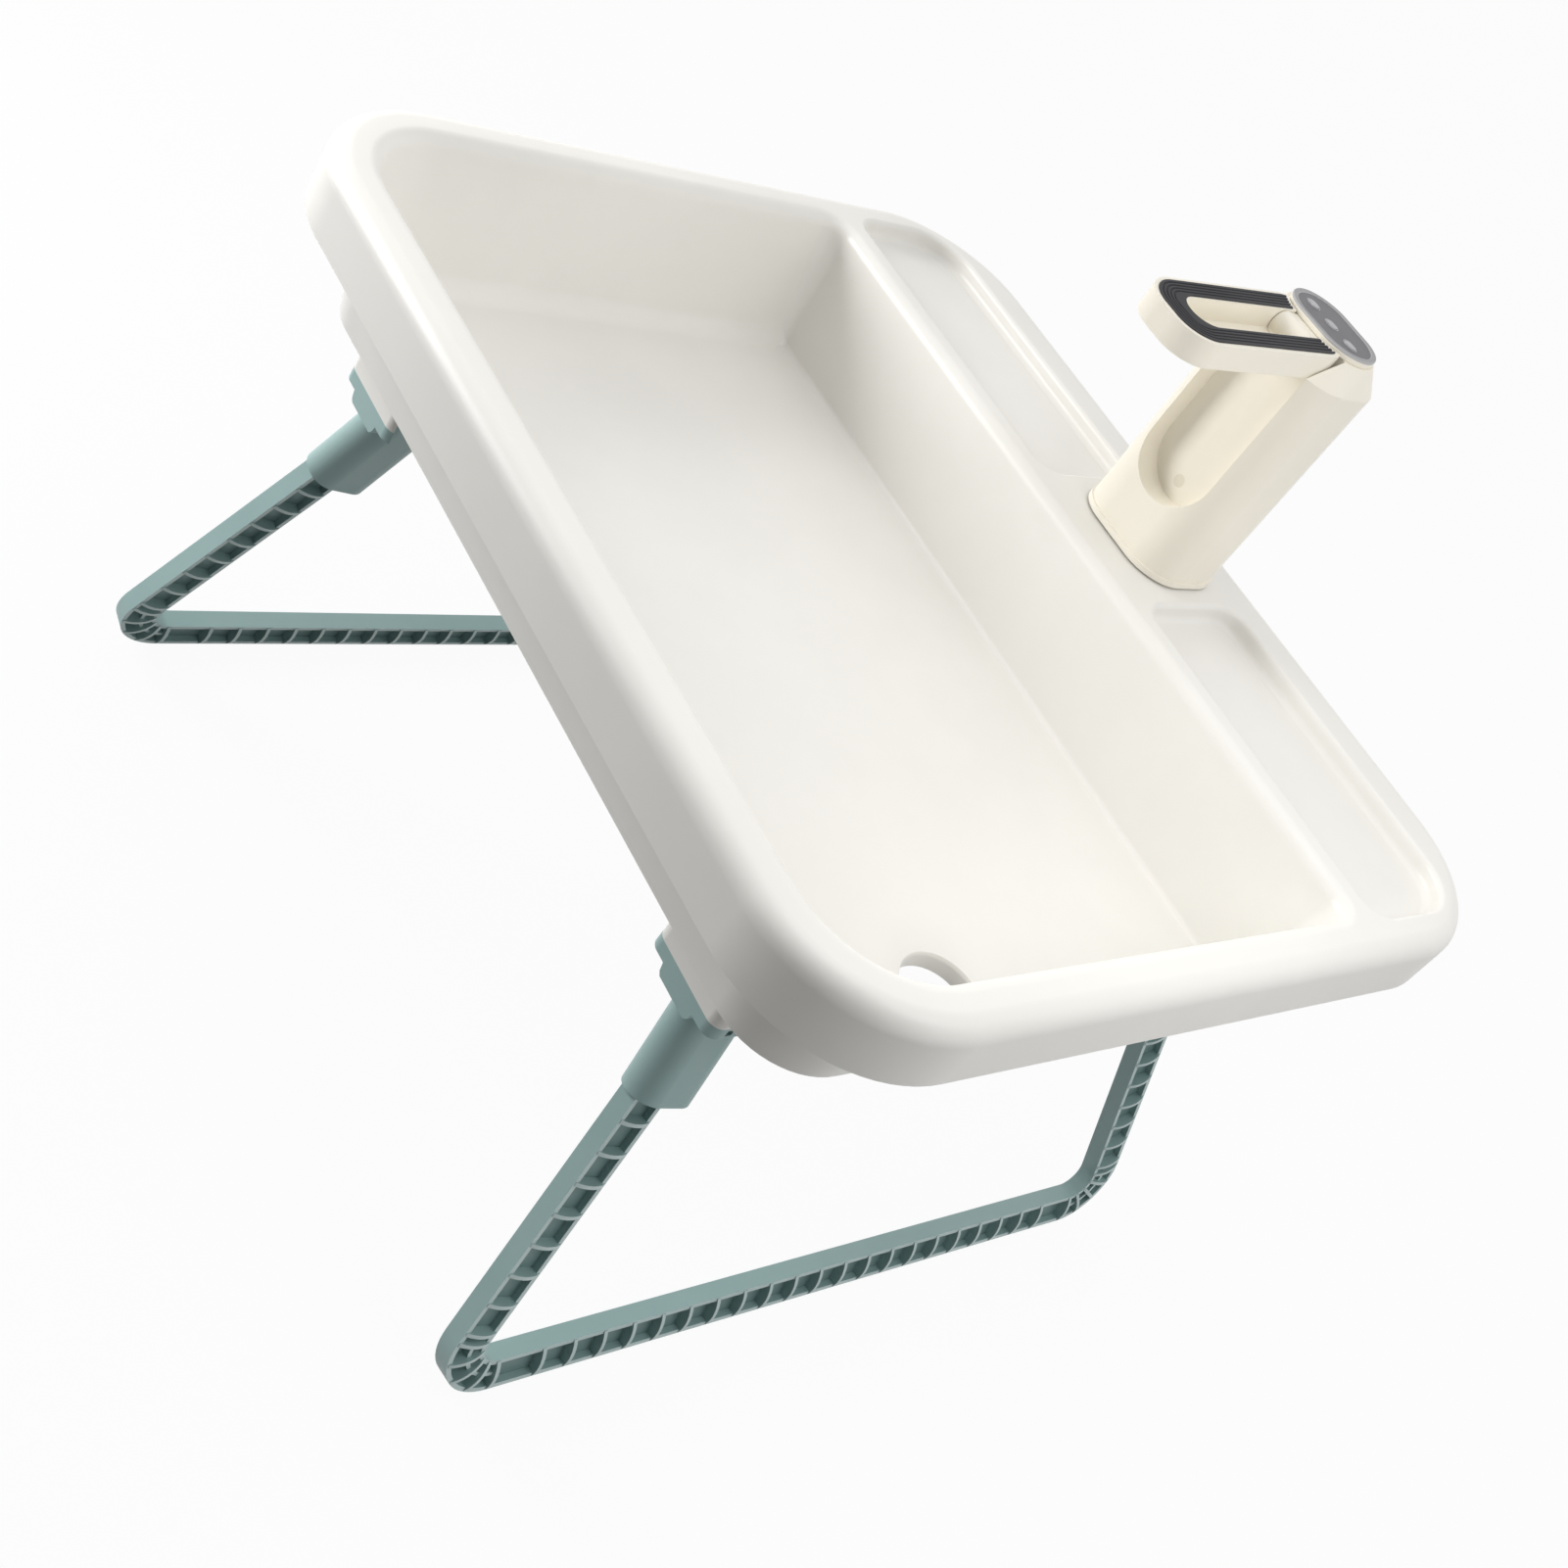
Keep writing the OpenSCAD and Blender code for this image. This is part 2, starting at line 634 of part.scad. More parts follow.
// Socket: a round-backed knuckle that runs down into an oval sleeve
module socket(sx, sy) color(teal) at_frame(sx) translate([0, sy * hinge_y, 0]) difference() {
    intersection() {
        union() {
            translate([0, 0, -kink]) linear_extrude(kink + socket_t) socket_plan();
            translate([0, 0, -kink]) rotate([sy * socket_lean, 0, 0]) translate([0, 0, kink - socket_end])
                linear_extrude(socket_end - kink + socket_w / 2 * tan(socket_lean)) socket_plan();
        }
        union() {
            along_y(2 * socket_w) circle(socket_t / 2);
            translate([0, 0, -socket_end]) cube([2 * socket_t, 4 * socket_w, 2 * socket_end], center = true);
        }
    }
    along_y(3 * socket_w) circle(pin_d / 2 + run_gap);
    difference() {
        rotate([sy * flare, 0, 0]) translate([0, 0, -2 * socket_end])
            linear_extrude(2 * socket_end) square([leg_t + 2 * fit, leg_w + 2 * fit], center = true);
        translate([0, 0, socket_end + fit - leg_top])
            cube([4 * socket_t, 4 * socket_w, 2 * socket_end], center = true);
    }
    rotate([sy * flare, 0, 0]) translate([0, 0, -socket_end])
        linear_extrude(socket_end - tenon_top + fit)
            square([tenon_t + 2 * fit, tenon_w + 2 * fit], center = true);
}

module left_front_socket() socket(-1, -1);
module left_back_socket() socket(-1, 1);
module right_front_socket() socket(1, -1);
module right_back_socket() socket(1, 1);

module at_faucet() translate([faucet_x, faucet_y + sink_y, rim_z]) children();
module at_arm() at_faucet() translate([0, axis_fy, axis_fz]) rotate([arm_droop, 0, 0]) children();

module faucet_gasket() color(charcoal) at_faucet() linear_extrude(gasket_t) difference() {
    rounded_rect(post_w - 4, post_d - 4, post_r - 2);
    circle(d = spigot_d + 2 * fit);
}

module faucet_base() color(cream) at_faucet() difference() {
    union() {
        translate([0, 0, gasket_t]) linear_extrude(lip_h) rounded_rect(post_w + 2, post_d + 2, post_r + 1);
        translate([0, 0, post_z0 - 0.5]) linear_extrude(base_top - post_z0 + 0.5)
            rounded_rect(in_w - 2 * plug_gap, in_d - 2 * plug_gap, in_r - plug_gap);
    }
    translate([0, 0, -over]) cylinder(h = base_top + 2 * over, d = spigot_d + 2 * fit);
    for (p = boss_at) translate([p[0], p[1], gasket_t - over]) {
        cylinder(h = base_top + over, d = screw_d + 2 * fit);
        cylinder(h = over + screw_head_h, d = screw_head_d + 2 * fit);
    }
}

module pocket_plan(o) {
    translate([0, pocket_z + pocket_w / 2]) circle(pocket_w / 2 + o);
    translate([-pocket_w / 2 - o, pocket_z + pocket_w / 2])
        square([pocket_w + 2 * o, seam_z - pocket_z - pocket_w / 2 + over]);
}

module faucet_body() color(cream) at_faucet() difference() {
    union() {
        difference() {
            translate([0, 0, post_z0]) linear_extrude(seam_z - post_z0) rounded_rect(post_w, post_d, post_r);
            translate([0, 0, post_z0 - over]) linear_extrude(seam_z - post_z0 + 2 * over)
                rounded_rect(in_w, in_d, in_r);
        }
        intersection() {
            translate([0, 0, post_z0]) linear_extrude(seam_z - post_z0)
                rounded_rect(post_w - 1, post_d - 1, post_r - 0.5);
            union() {
                translate([0, -post_d / 2 + (pocket_d + post_wall) / 2, 0])
                    along_y(pocket_d + post_wall) pocket_plan(post_wall);
                for (p = boss_at) translate([p[0], p[1], base_top + fit])
                    cylinder(h = post_boss_h, d = boss_d);
            }
        }
    }
    translate([0, pocket_floor - 3 * pocket_d / 2, 0]) along_y(3 * pocket_d) pocket_plan(0);
    for (p = boss_at) translate([p[0], p[1], base_top - over])
        cylinder(h = screw_bite + 3, d = screw_d + 2 * fit);
    translate([0, post_d / 2, port_z]) cube([port_w + 1.4, 4 * post_wall, port_h + 1.4], center = true);
    translate([0, pocket_floor, magnet_z]) along_y(2 * magnet_t) circle(d = magnet_d + 2 * fit);
}

module pocket_magnet() color(steel) at_faucet()
    translate([0, pocket_floor + magnet_t / 2, magnet_z]) along_y(magnet_t) circle(d = magnet_d);

// Head: a cap that narrows to the panel; its front is cut back round the arm's root
module faucet_head() color(cream) at_faucet() difference() {
    union() {
        difference() {
            hull() {
                translate([0, 0, seam_z]) linear_extrude(1.5) rounded_rect(post_w, post_d, post_r, $fn = 64);
                translate([0, panel_back, head_top - bezel_h - 0.1]) linear_extrude(0.1)
                    oval(panel_l + 2 * bezel_w + 2.4, panel_w + 2 * bezel_w + 2.4, $fn = 64);
            }
            translate([-pocket_w / 2, -post_d, seam_z + head_floor])
                cube([pocket_w, post_d + axis_fy + arm_rear, 4 * head_h]);
            translate([-pocket_w / 2, -post_d, seam_z - over])
                cube([pocket_w, post_d + pocket_floor, 4 * head_h]);
        }
        translate([0, panel_back, seam_z]) linear_extrude(head_h - bezel_h)
            oval(panel_l + 2 * bezel_w - 2 * neck_in, panel_w + 2 * bezel_w - 2 * neck_in);
    }
    translate([0, panel_back + 1, seam_z - over]) linear_extrude(over + board_z - seam_z)
        oval(panel_l - 8, panel_w - 10);
    translate([0, panel_back, board_z]) linear_extrude(bezel_h + board_t)
        oval(panel_l - board_in + 1, panel_w - board_in + 1);
    translate([0, axis_fy + block_l / 2, axis_fz - knuckle_r + head_h])
        cube([knuckle_w + 2 * fit, block_l + 2 * fit, 2 * (head_h + fit)], center = true);
}

// Hinge block: a round nose between the arm's prongs, let into the head's neck
module hinge_block() color(cream) at_faucet() difference() {
    union() {
        translate([0, axis_fy, axis_fz]) along_x(knuckle_w) circle(knuckle_r);
        translate([-knuckle_w / 2, axis_fy, axis_fz - knuckle_r])
            cube([knuckle_w, block_l, head_top - bezel_h - fit - axis_fz + knuckle_r]);
    }
    translate([0, axis_fy, axis_fz]) along_x(2 * knuckle_w) circle(arm_pin_d / 2 + fit);
}

module inlet_spigot() color(charcoal) at_faucet() difference() {
    union() {
        translate([0, 0, -wall - thread_l]) cylinder(h = wall + thread_l + base_top, d = spigot_d);
        translate([0, 0, -wall - tail_l]) cylinder(h = tail_l - thread_l + 2, d = tail_d);
        for (i = [0 : 3]) translate([0, 0, -wall - tail_l + 1 + barb_l * i])
            cylinder(h = barb_l - 1, d1 = tail_d, d2 = tail_d + 1.6);
    }
    translate([0, 0, -wall - tail_l - 1]) cylinder(h = 2 * tail_l, d = tail_d - 3.4);
}

module clamp_nut() color(charcoal) at_faucet() translate([0, 0, -wall - nut_h]) difference() {
    union() {
        cylinder(h = nut_h - 2, d = nut_w, $fn = 6);
        translate([0, 0, nut_h - 2.5]) cylinder(h = 2.5, d = nut_w);
    }
    translate([0, 0, -over]) cylinder(h = nut_h + 2 * over, d = spigot_d + 2 * fit);
}

module base_screws() color(steel) at_faucet() for (p = boss_at)
    translate([p[0], p[1], gasket_t]) difference() {
        union() {
            translate([0, 0, 0.2]) cylinder(h = screw_head_h - 0.2, d = screw_head_d);
            translate([0, 0, 0.2]) cylinder(h = base_top + screw_bite - gasket_t, d = screw_d);
        }
        for (a = [0, 90]) rotate(a) cube([3.6, 0.8, 2], center = true);
    }

module pump_motor() color(light_grey) at_faucet()
translate([pump_at[0], pump_at[1], base_top]) difference() {
    union() {
        cylinder(h = pump_h, r = pump_r);
        translate([0, 0, pump_h - over]) cylinder(h = outlet_h, r = tube_r - 1);
    }
    translate([0, 0, pump_h - outlet_h - 1]) cylinder(h = 2 * outlet_h + 2, r = (tube_r - 0.5) / 2);
}

module riser_tube() color(light_grey) at_faucet()
    translate([pump_at[0], pump_at[1], base_top + pump_h]) difference() {
        cylinder(h = board_z - base_top - pump_h - 1 - 2, r = tube_r);
        translate([0, 0, -over]) cylinder(h = outlet_h + over, r = tube_r - 1 + fit);
        cylinder(h = board_z, r = tube_r - 1);
    }

module battery_cell() color("seagreen") at_faucet() translate([cell_at[0], cell_at[1], base_top]) {
    cylinder(h = cell_h - 1, r = cell_r);
    cylinder(h = cell_h, r = 3);
}

module power_board() color("darkgreen") at_faucet()
    translate([-board_w / 2, in_d / 2 - board_t, port_z - 5 * board_t]) cube([board_w, board_t, board_h]);

module charge_socket() color(steel) at_faucet() translate([0, 0, port_z]) difference() {
    translate([0, in_d / 2 + 0.6, 0]) cube([port_w, 1.2, port_h], center = true);
    translate([0, in_d / 2 + 1.2, 0]) cube([port_w - 1.8, 1.6, port_h - 1.8], center = true);
}

module port_cover() color(charcoal) at_faucet() translate([0, post_d / 2, port_z]) {
    translate([0, 0.5, 0]) cube([port_w + 5, 1, port_h + 4.6], center = true);
    translate([0, -0.6, 0]) cube([port_w + 1, 1.2, port_h + 1], center = true);
}

module control_board() color("darkgreen") at_faucet() translate([0, panel_back, board_z])
    linear_extrude(board_t) oval(panel_l - board_in, panel_w - board_in);

module key_plan(o) oval(key_l + 2 * o, key_w + 2 * o);

module panel_bezel() color(light_grey) at_faucet()
translate([0, panel_back, head_top - bezel_h]) difference() {
    linear_extrude(bezel_h) oval(panel_l + 2 * bezel_w, panel_w + 2 * bezel_w);
    translate([0, 0, bezel_h - panel_t]) linear_extrude(2 * panel_t)
        oval(panel_l + 2 * fit, panel_w + 2 * fit);
    translate([0, 0, -over]) linear_extrude(bezel_h) oval(panel_l - 4, panel_w - 4);
}

module touch_panel() color(grey) at_faucet() translate([0, panel_back, head_top - panel_t])
    linear_extrude(panel_t - panel_sink) difference() {
        oval(panel_l, panel_w);
        for (i = [-1 : 1]) translate([i * key_pitch, key_back]) key_plan(key_gap);
    }

module key(i) color(light_grey) at_faucet() translate([i * key_pitch, panel_back + key_back, head_top]) {
    translate([0, 0, -panel_t - 0.6]) linear_extrude(panel_t + 0.6 - panel_sink + key_travel) key_plan(0);
    translate([0, 0, -panel_t - 0.85]) linear_extrude(0.8) key_plan(1);
}

module key_left() key(-1);
module key_middle() key(0);
module key_right() key(1);

module arm_pin() color(steel) at_faucet() translate([0, axis_fy, axis_fz])
    along_x(pin_l) circle(d = arm_pin_d);

// Plan of the arm: a rounded tip and two prongs that pass both sides of the hinge block
module arm_plan(o) intersection() {
    difference() {
        translate([0, (arm_tail - arm_reach) / 2])
            rounded_rect(arm_w - 2 * o, arm_reach + arm_tail - 2 * o, arm_r - o);
        translate([0, panel_back - axis_fy])
            oval(panel_l + 2 * bezel_w + 2 * rear_gap + 2 * o, panel_w + 2 * bezel_w + 2 * rear_gap + 2 * o);
    }
    translate([-arm_w, -arm_reach]) square([2 * arm_w, arm_reach + arm_rear - o]);
}

module slot_plan(o) {
    translate([-slot_w / 2 - o, -arm_reach + tip_l + slot_w / 2])
        square([slot_w + 2 * o, arm_reach + beyond]);
    translate([0, -arm_reach + tip_l + slot_w / 2]) circle(slot_w / 2 + o);
}

module spout_arm() color(cream) at_arm() difference() {
    intersection() {
        translate([0, 0, -arm_t / 2]) linear_extrude(arm_t) arm_plan(0);
        union() {
            translate([0, -arm_reach, 0]) cube([2 * arm_w, 2 * arm_reach, 2 * arm_t], center = true);
            along_x(arm_w + 2) circle(arm_rear + 1);
        }
    }
    translate([0, 0, -arm_t / 2 + 2]) linear_extrude(arm_t) slot_plan(0);
    translate([0, knuckle_front, 0]) translate([-slot_w / 2, 0, -arm_t]) cube([slot_w, beyond, 2 * arm_t]);
    translate([0, 0, arm_t / 2 - insert_t]) linear_extrude(2 * insert_t) difference() {
        arm_plan(insert_border - fit);
        slot_plan(0.8 - fit);
    }
    along_x(pin_l + 2 * fit) circle(arm_pin_d / 2 + run_gap);
    translate([water_x, (nozzle_y - arm_pin_d) / 2, -1]) along_y(-nozzle_y - arm_pin_d)
        circle(d = water_d);
    translate([water_x / 2, nozzle_y, -1]) along_x(water_x + water_d) circle(d = water_d);
    translate([0, nozzle_y, -arm_t / 2 - over]) cylinder(h = over + nozzle_in, d = nozzle_d + 2 * fit);
    translate([0, tip_magnet_y, -arm_t / 2 - over])
        cylinder(h = over + tip_magnet_t, d = tip_magnet_d + 2 * fit);
}

module arm_insert() color(charcoal) at_arm() translate([0, 0, arm_t / 2 - insert_t]) difference() {
    linear_extrude(insert_t + insert_rise) difference() {
        arm_plan(insert_border);
        slot_plan(0.8);
    }
    translate([0, 0, insert_t + insert_rise - 0.5]) for (i = [1 : groove_n]) linear_extrude(1) {
        b = insert_border + i * (arm_w / 2 - insert_border - slot_w / 2 - 0.8) / (groove_n + 1);
        difference() {
            arm_loop(b - groove_w / 2);
            arm_loop(b + groove_w / 2);
        }
    }
}

// Loop line for the grooves: the arm's outline without its cut rear end
module arm_loop(o) translate([0, (beyond - arm_reach) / 2])
    rounded_rect(arm_w - 2 * o, arm_reach + beyond - 2 * o, max(arm_r - o, 2));

module spout_nozzle() color(light_grey) at_arm() translate([0, nozzle_y, -arm_t / 2 - 0.6]) difference() {
    cylinder(h = nozzle_in + 0.4, d = nozzle_d);
    translate([0, 0, 1.2]) cylinder(h = 2 * nozzle_in, d = nozzle_d - 2.6);
    for (i = [0 : 5]) rotate(60 * i) translate([1.7, 0, -over]) cylinder(h = 4, d = 1, $fn = 16);
}

module arm_magnet() color(steel) at_arm() translate([0, tip_magnet_y, -arm_t / 2])
    cylinder(h = tip_magnet_t - fit, d = tip_magnet_d);

basin();
bracket_left_front();
bracket_left_back();
bracket_right_front();
bracket_right_back();
bracket_screws();
left_hinge_pins();
right_hinge_pins();
left_leg_frame();
left_front_socket();
left_back_socket();
right_leg_frame();
right_front_socket();
right_back_socket();
faucet_gasket();
faucet_base();
faucet_body();
faucet_head();
hinge_block();
inlet_spigot();
clamp_nut();
base_screws();
pump_motor();
riser_tube();
battery_cell();
power_board();
control_board();
charge_socket();
port_cover();
pocket_magnet();
panel_bezel();
touch_panel();
key_left();
key_middle();
key_right();
arm_pin();
spout_arm();
arm_insert();
spout_nozzle();
arm_magnet();
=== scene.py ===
import json
import math

import bmesh
import bpy
from mathutils import Matrix, Vector
from mathutils.bvhtree import BVHTree


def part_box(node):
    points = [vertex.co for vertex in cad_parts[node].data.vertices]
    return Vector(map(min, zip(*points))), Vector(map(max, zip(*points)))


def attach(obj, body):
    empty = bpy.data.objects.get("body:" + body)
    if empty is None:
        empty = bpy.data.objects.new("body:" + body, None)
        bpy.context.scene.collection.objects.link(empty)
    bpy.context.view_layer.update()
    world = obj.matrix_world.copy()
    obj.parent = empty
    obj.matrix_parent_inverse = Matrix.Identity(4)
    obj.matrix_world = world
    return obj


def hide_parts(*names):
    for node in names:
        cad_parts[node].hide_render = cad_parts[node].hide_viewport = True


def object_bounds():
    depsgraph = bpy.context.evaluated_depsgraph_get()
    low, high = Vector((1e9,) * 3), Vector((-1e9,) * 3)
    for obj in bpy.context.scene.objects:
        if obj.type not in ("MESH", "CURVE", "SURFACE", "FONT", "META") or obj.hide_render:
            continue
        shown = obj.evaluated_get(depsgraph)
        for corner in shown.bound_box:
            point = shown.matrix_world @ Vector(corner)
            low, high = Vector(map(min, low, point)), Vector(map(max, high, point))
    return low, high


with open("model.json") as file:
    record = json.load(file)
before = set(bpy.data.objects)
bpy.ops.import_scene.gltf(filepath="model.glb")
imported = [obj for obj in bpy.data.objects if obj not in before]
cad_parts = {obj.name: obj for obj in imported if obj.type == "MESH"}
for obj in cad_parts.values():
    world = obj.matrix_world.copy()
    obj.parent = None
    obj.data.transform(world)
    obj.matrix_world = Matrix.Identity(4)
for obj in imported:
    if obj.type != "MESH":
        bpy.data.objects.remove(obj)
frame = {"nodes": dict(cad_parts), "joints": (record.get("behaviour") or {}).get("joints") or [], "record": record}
nodes = frame["nodes"]
cad_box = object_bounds()

# The basin's sizes, edge widths and grain depths are in millimetres, and other places in metres
MM = 0.001
UP = Vector((0.0, 0.0, 1.0))

# Read from the frame: the basin's outside and its middle along Y
basin_low, basin_high = (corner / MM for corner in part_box("basin"))
RIM_LENGTH = round(basin_high.x - basin_low.x, 1)
RIM_WIDTH = round(basin_high.y - basin_low.y, 1)
RIM_TOP = round(basin_high.z, 1)
SINK_Y = round((basin_low.y + basin_high.y) / 2, 3)

# Read from the frame: the drain and the middle of the faucet's spigot
drain = next(mount for mount in frame["record"]["mounts"] if mount["name"] == "drain")
DRAIN_X, DRAIN_Y = (round(place / MM, 3) for place in drain["pos_m"][:2])
DRAIN_RADIUS = drain["dims"]["r_mm"]
spigot_low, spigot_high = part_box("inlet_spigot")
FAUCET_X, FAUCET_Y = (round(place / MM, 3) for place in ((spigot_low + spigot_high) / 2).xy)

# Read from the frame: the right leg's hinge and the tops of the panel and its border
hinge = next(joint for joint in frame["joints"] if joint["name"] == "right_leg_fold")
HINGE_X, HINGE_Z = hinge["pos_m"][0], hinge["pos_m"][2]
PANEL_TOP = round(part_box("touch_panel")[1].z, 5)
BORDER_TOP = round(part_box("panel_bezel")[1].z, 5)

# The rim: the radius of its corners, the round of its top edge, the width of its flat band
RIM_CORNER, RIM_ROUND, RIM_BAND = 64.0, 9.0, 21.0
# The tub: the depth of its floor and the round of its mouth edge
TUB_DEPTH, TUB_MOUTH = 69.0, 6.0
# The radii of its corners at the mouth, and the least that the back ones get
FRONT_CORNER, BACK_CORNER, LEAST_CORNER = 45.0, 12.0, 1.2
# The lean of its walls and of its back corners, per millimetre of depth
WALL_LEAN, BACK_LEAN, CORNER_LEAN = 0.18, 0.04, 0.1
# The radius at the foot of its left wall, of its front wall, and of the right and back ones
FOOT_LEFT, FOOT_FRONT, FOOT_TIGHT = 9.0, 8.0, 2.8
# The deck behind the tub, the faucet's flush platform on it, and the radius of the spigot's hole
DECK_WIDTH, PLATFORM_WIDTH, SPIGOT_HOLE = 105.5, 86.0, 11.05
BACK_WALL = RIM_WIDTH / 2 - DECK_WIDTH
# The trays: their distance from the tub and from the rim's ends and back, and their depth
TRAY_FRONT, TRAY_END, TRAY_BACK, TRAY_DEPTH = 14.0, 17.5, 25.0, 9.0
# The radii of their corners in plan, and of their mouth edge and foot
TRAY_CORNER, TRAY_FAR_CORNER, TRAY_MOUTH, TRAY_FOOT = 12.0, 26.0, 2.6, 3.6
# The dish round the drain: where it ends, its depth, and how far up the wall's foot follows it
DISH_END, DISH_DEPTH, DISH_FOOT = 36.5, 4.0, 9.0
# How far under the tub's floor points still go down with it, and the radii of the rings it is made of
DISH_UNDER = 2.0
DISH_RINGS = (18.8, 20.0, 22.0, 25.0, 28.0, 31.0, 34.0, 36.5, 38.0)
# The drain's lip: the depths of its two rings under the tub's floor, and how much it opens
LIP_LOW, LIP_HIGH, LIP_OPENS = 1.6, 0.7, 0.25
# Towards the tub's right wall, the first ring lies this far from the drain, each next one further
WALL_SIDE, WALL_SIDE_STEP = 0.7, 0.12
# A place along X that no ring reaches
NO_LIMIT = 300.0
# How near the drain and the spigot's hole their open edges lie
DRAIN_REACH, SPIGOT_REACH = 25.0, 18.0
# Degrees from one ring to the next on the recesses' rounds and on the rim's
RECESS_STEP, RIM_STEP = 15, 9

# Points nearer than this are one, and a sliver that is thinner than this goes
MERGE, SLIVER = 2e-6, 1e-6
# Faces that meet at less than the first angle become one, and edges over the second look sharp
FLAT, CREASE = math.radians(0.6), math.radians(34.0)

# The leg frames' lean
SPLAY = math.radians(14.4)
# Where the painted shade in their cells and the painted highlight on their outer edges begin and end, from their
# middle plane
CELL_SHADE_NEAR, CELL_SHADE_FAR, EDGE_HIGHLIGHT_NEAR, EDGE_HIGHLIGHT_FAR = 1.4 * MM, 1.9 * MM, 4.1 * MM, 4.4 * MM
# The border's skirt ends between these two depths under its top
SKIRT_TOP, SKIRT_END = 0.85 * MM, 1.05 * MM
# The raised lines round the keys: half their inner length and width, and how wide the line is
LINE_X, LINE_Y, LINE_WIDTH = 3.6 * MM, 2.6 * MM, 0.45 * MM
# How deep they sit in the panel, and how far they stand out of it
LINE_SUNK, LINE_PROUD = 0.1 * MM, 0.15 * MM

# Two shades of each main moulding
WHITE = ((0.868, 0.853, 0.812), (0.850, 0.835, 0.794))
TEAL = ((0.342, 0.492, 0.482), (0.316, 0.464, 0.455))
CREAM = ((0.915, 0.870, 0.765), (0.898, 0.853, 0.748))

# The photograph's camera, fitted to the rim, the tub, the legs and the faucet
CAMERA_PLACE, CAMERA_AIM = (0.438917, -0.630632, 0.68809), (0.0373, -0.01836, 0.16481)
CAMERA_ROLL = math.radians(38.1396)
SENSOR_WIDTH, FOCAL_LENGTH = 36.0, 46.7246
# Where the studio is dark, as a direction from the sink, and the floor's size and place under it
DARK_SIDE = Vector((0.50, -0.86, -0.10)).normalized()
FLOOR_SIZE, FLOOR_GAP = 6.0, 0.4 * MM


# Finishes

class Value:
    """A node's output, which Python's operators work on"""

    def __init__(self, owner, socket):
        self.owner, self.socket = owner, socket

    def apply(self, operation, *others):
        return self.owner.node("ShaderNodeMath", {"operation": operation}, [self, *others])

    def __add__(self, other):
        return self.apply("ADD", other)

    def __mul__(self, other):
        return self.apply("MULTIPLY", other)

    def __sub__(self, other):
        return self.apply("SUBTRACT", other)

    def __rsub__(self, other):
        return self.owner.node("ShaderNodeMath", {"operation": "SUBTRACT"}, [other, self])

    __radd__ = __add__
    __rmul__ = __mul__

    def ramp(self, low, high, start=0.0, end=1.0):
        """start at low, end at high, smooth in between"""
        return self.owner.node("ShaderNodeMapRange", {"interpolation_type": "SMOOTHSTEP"}, {
            "Value": self, "From Min": low, "From Max": high, "To Min": start, "To Max": end})


class Nodes:
    """A node tree, filled with nodes whose sockets take numbers, colours or values"""

    def __init__(self, owner):
        owner.use_nodes = True
        self.tree = owner.node_tree
        self.tree.nodes.clear()

    def put(self, socket, value):
        """Links a value to a socket, or writes a number, a vector or a colour into it"""
        if isinstance(value, Value):
            self.tree.links.new(value.socket, socket)
        elif socket.type == "RGBA":
            socket.default_value = (*value, 1.0)
        else:
            socket.default_value = value

    def node(self, kind, settings, values, output=0):
        """Adds a node by its type, settings and sockets, and returns one of its outputs"""
        made = self.tree.nodes.new(kind)
        for key, value in settings.items():
            setattr(made, key, value)
        pairs = values.items() if isinstance(values, dict) else enumerate(values)
        for key, value in pairs:
            self.put(made.inputs[key], value)
        return Value(self, made.outputs[output]) if made.outputs else made

    def mix(self, amount, a, b):
        """Colour a where amount is 0, colour b where it is 1"""
        return self.node("ShaderNodeMix", {"data_type": "RGBA"}, {"Factor": amount, 6: a, 7: b}, 2)

    def along(self, vector, direction):
        """How far a vector reaches in a direction"""
        dot = {"operation": "DOT_PRODUCT"}
        return self.node("ShaderNodeVectorMath", dot, (vector, direction), "Value")

    def rays(self, first, *others):
        """1 for rays of the named kinds, 0 for all others"""
        named = self.node("ShaderNodeLightPath", {}, {}, first)
        for kind in others:
            named = named.apply("MAXIMUM", self.node("ShaderNodeLightPath", {}, {}, kind))
        return named


class Finish(Nodes):
    """One material, a Principled shader whose patterns lie in Object coordinates"""

    def __init__(self, name, **sockets):
        self.material = bpy.data.materials.new(name)
        super().__init__(self.material)
        self.shader = self.tree.nodes.new("ShaderNodeBsdfPrincipled")
        self.surface = Value(self, self.shader.outputs[0])
        self.end = self.node("ShaderNodeOutputMaterial", {}, {"Surface": self.surface})
        self.place = self.node("ShaderNodeTexCoord", {}, {}, "Object")
        self.set(**sockets)

    def set(self, **sockets):
        """Sets the shader's sockets by name: base_color stands for Base Color"""
        for name, value in sockets.items():
            self.put(self.shader.inputs[name.replace("_", " ").title()], value)

    def colour(self):
        """The value that feeds the base colour"""
        return Value(self, self.shader.inputs["Base Color"].links[0].from_socket)

    def facing(self, direction):
        """How far the surface faces a direction"""
        return self.along(self.node("ShaderNodeTexCoord", {}, {}, "Normal"), direction)

    def noise(self, scale, detail=2.0, roughness=0.5, stretch=None):
        place = self.place
        if stretch:
            place = self.node("ShaderNodeMapping", {}, {"Vector": place, "Scale": stretch})
        return self.node("ShaderNodeTexNoise", {}, {
            "Vector": place, "Scale": scale, "Detail": detail, "Roughness": roughness})

    def mottle(self):
        """The slight flow marks of a moulding"""
        return self.noise(14.0, detail=3.0, roughness=0.55).ramp(0.35, 0.65)

    def bump(self, height, depth, strength=0.35):
        self.set(normal=self.node("ShaderNodeBump", {}, {
            "Strength": strength, "Distance": depth * MM, "Height": height}))


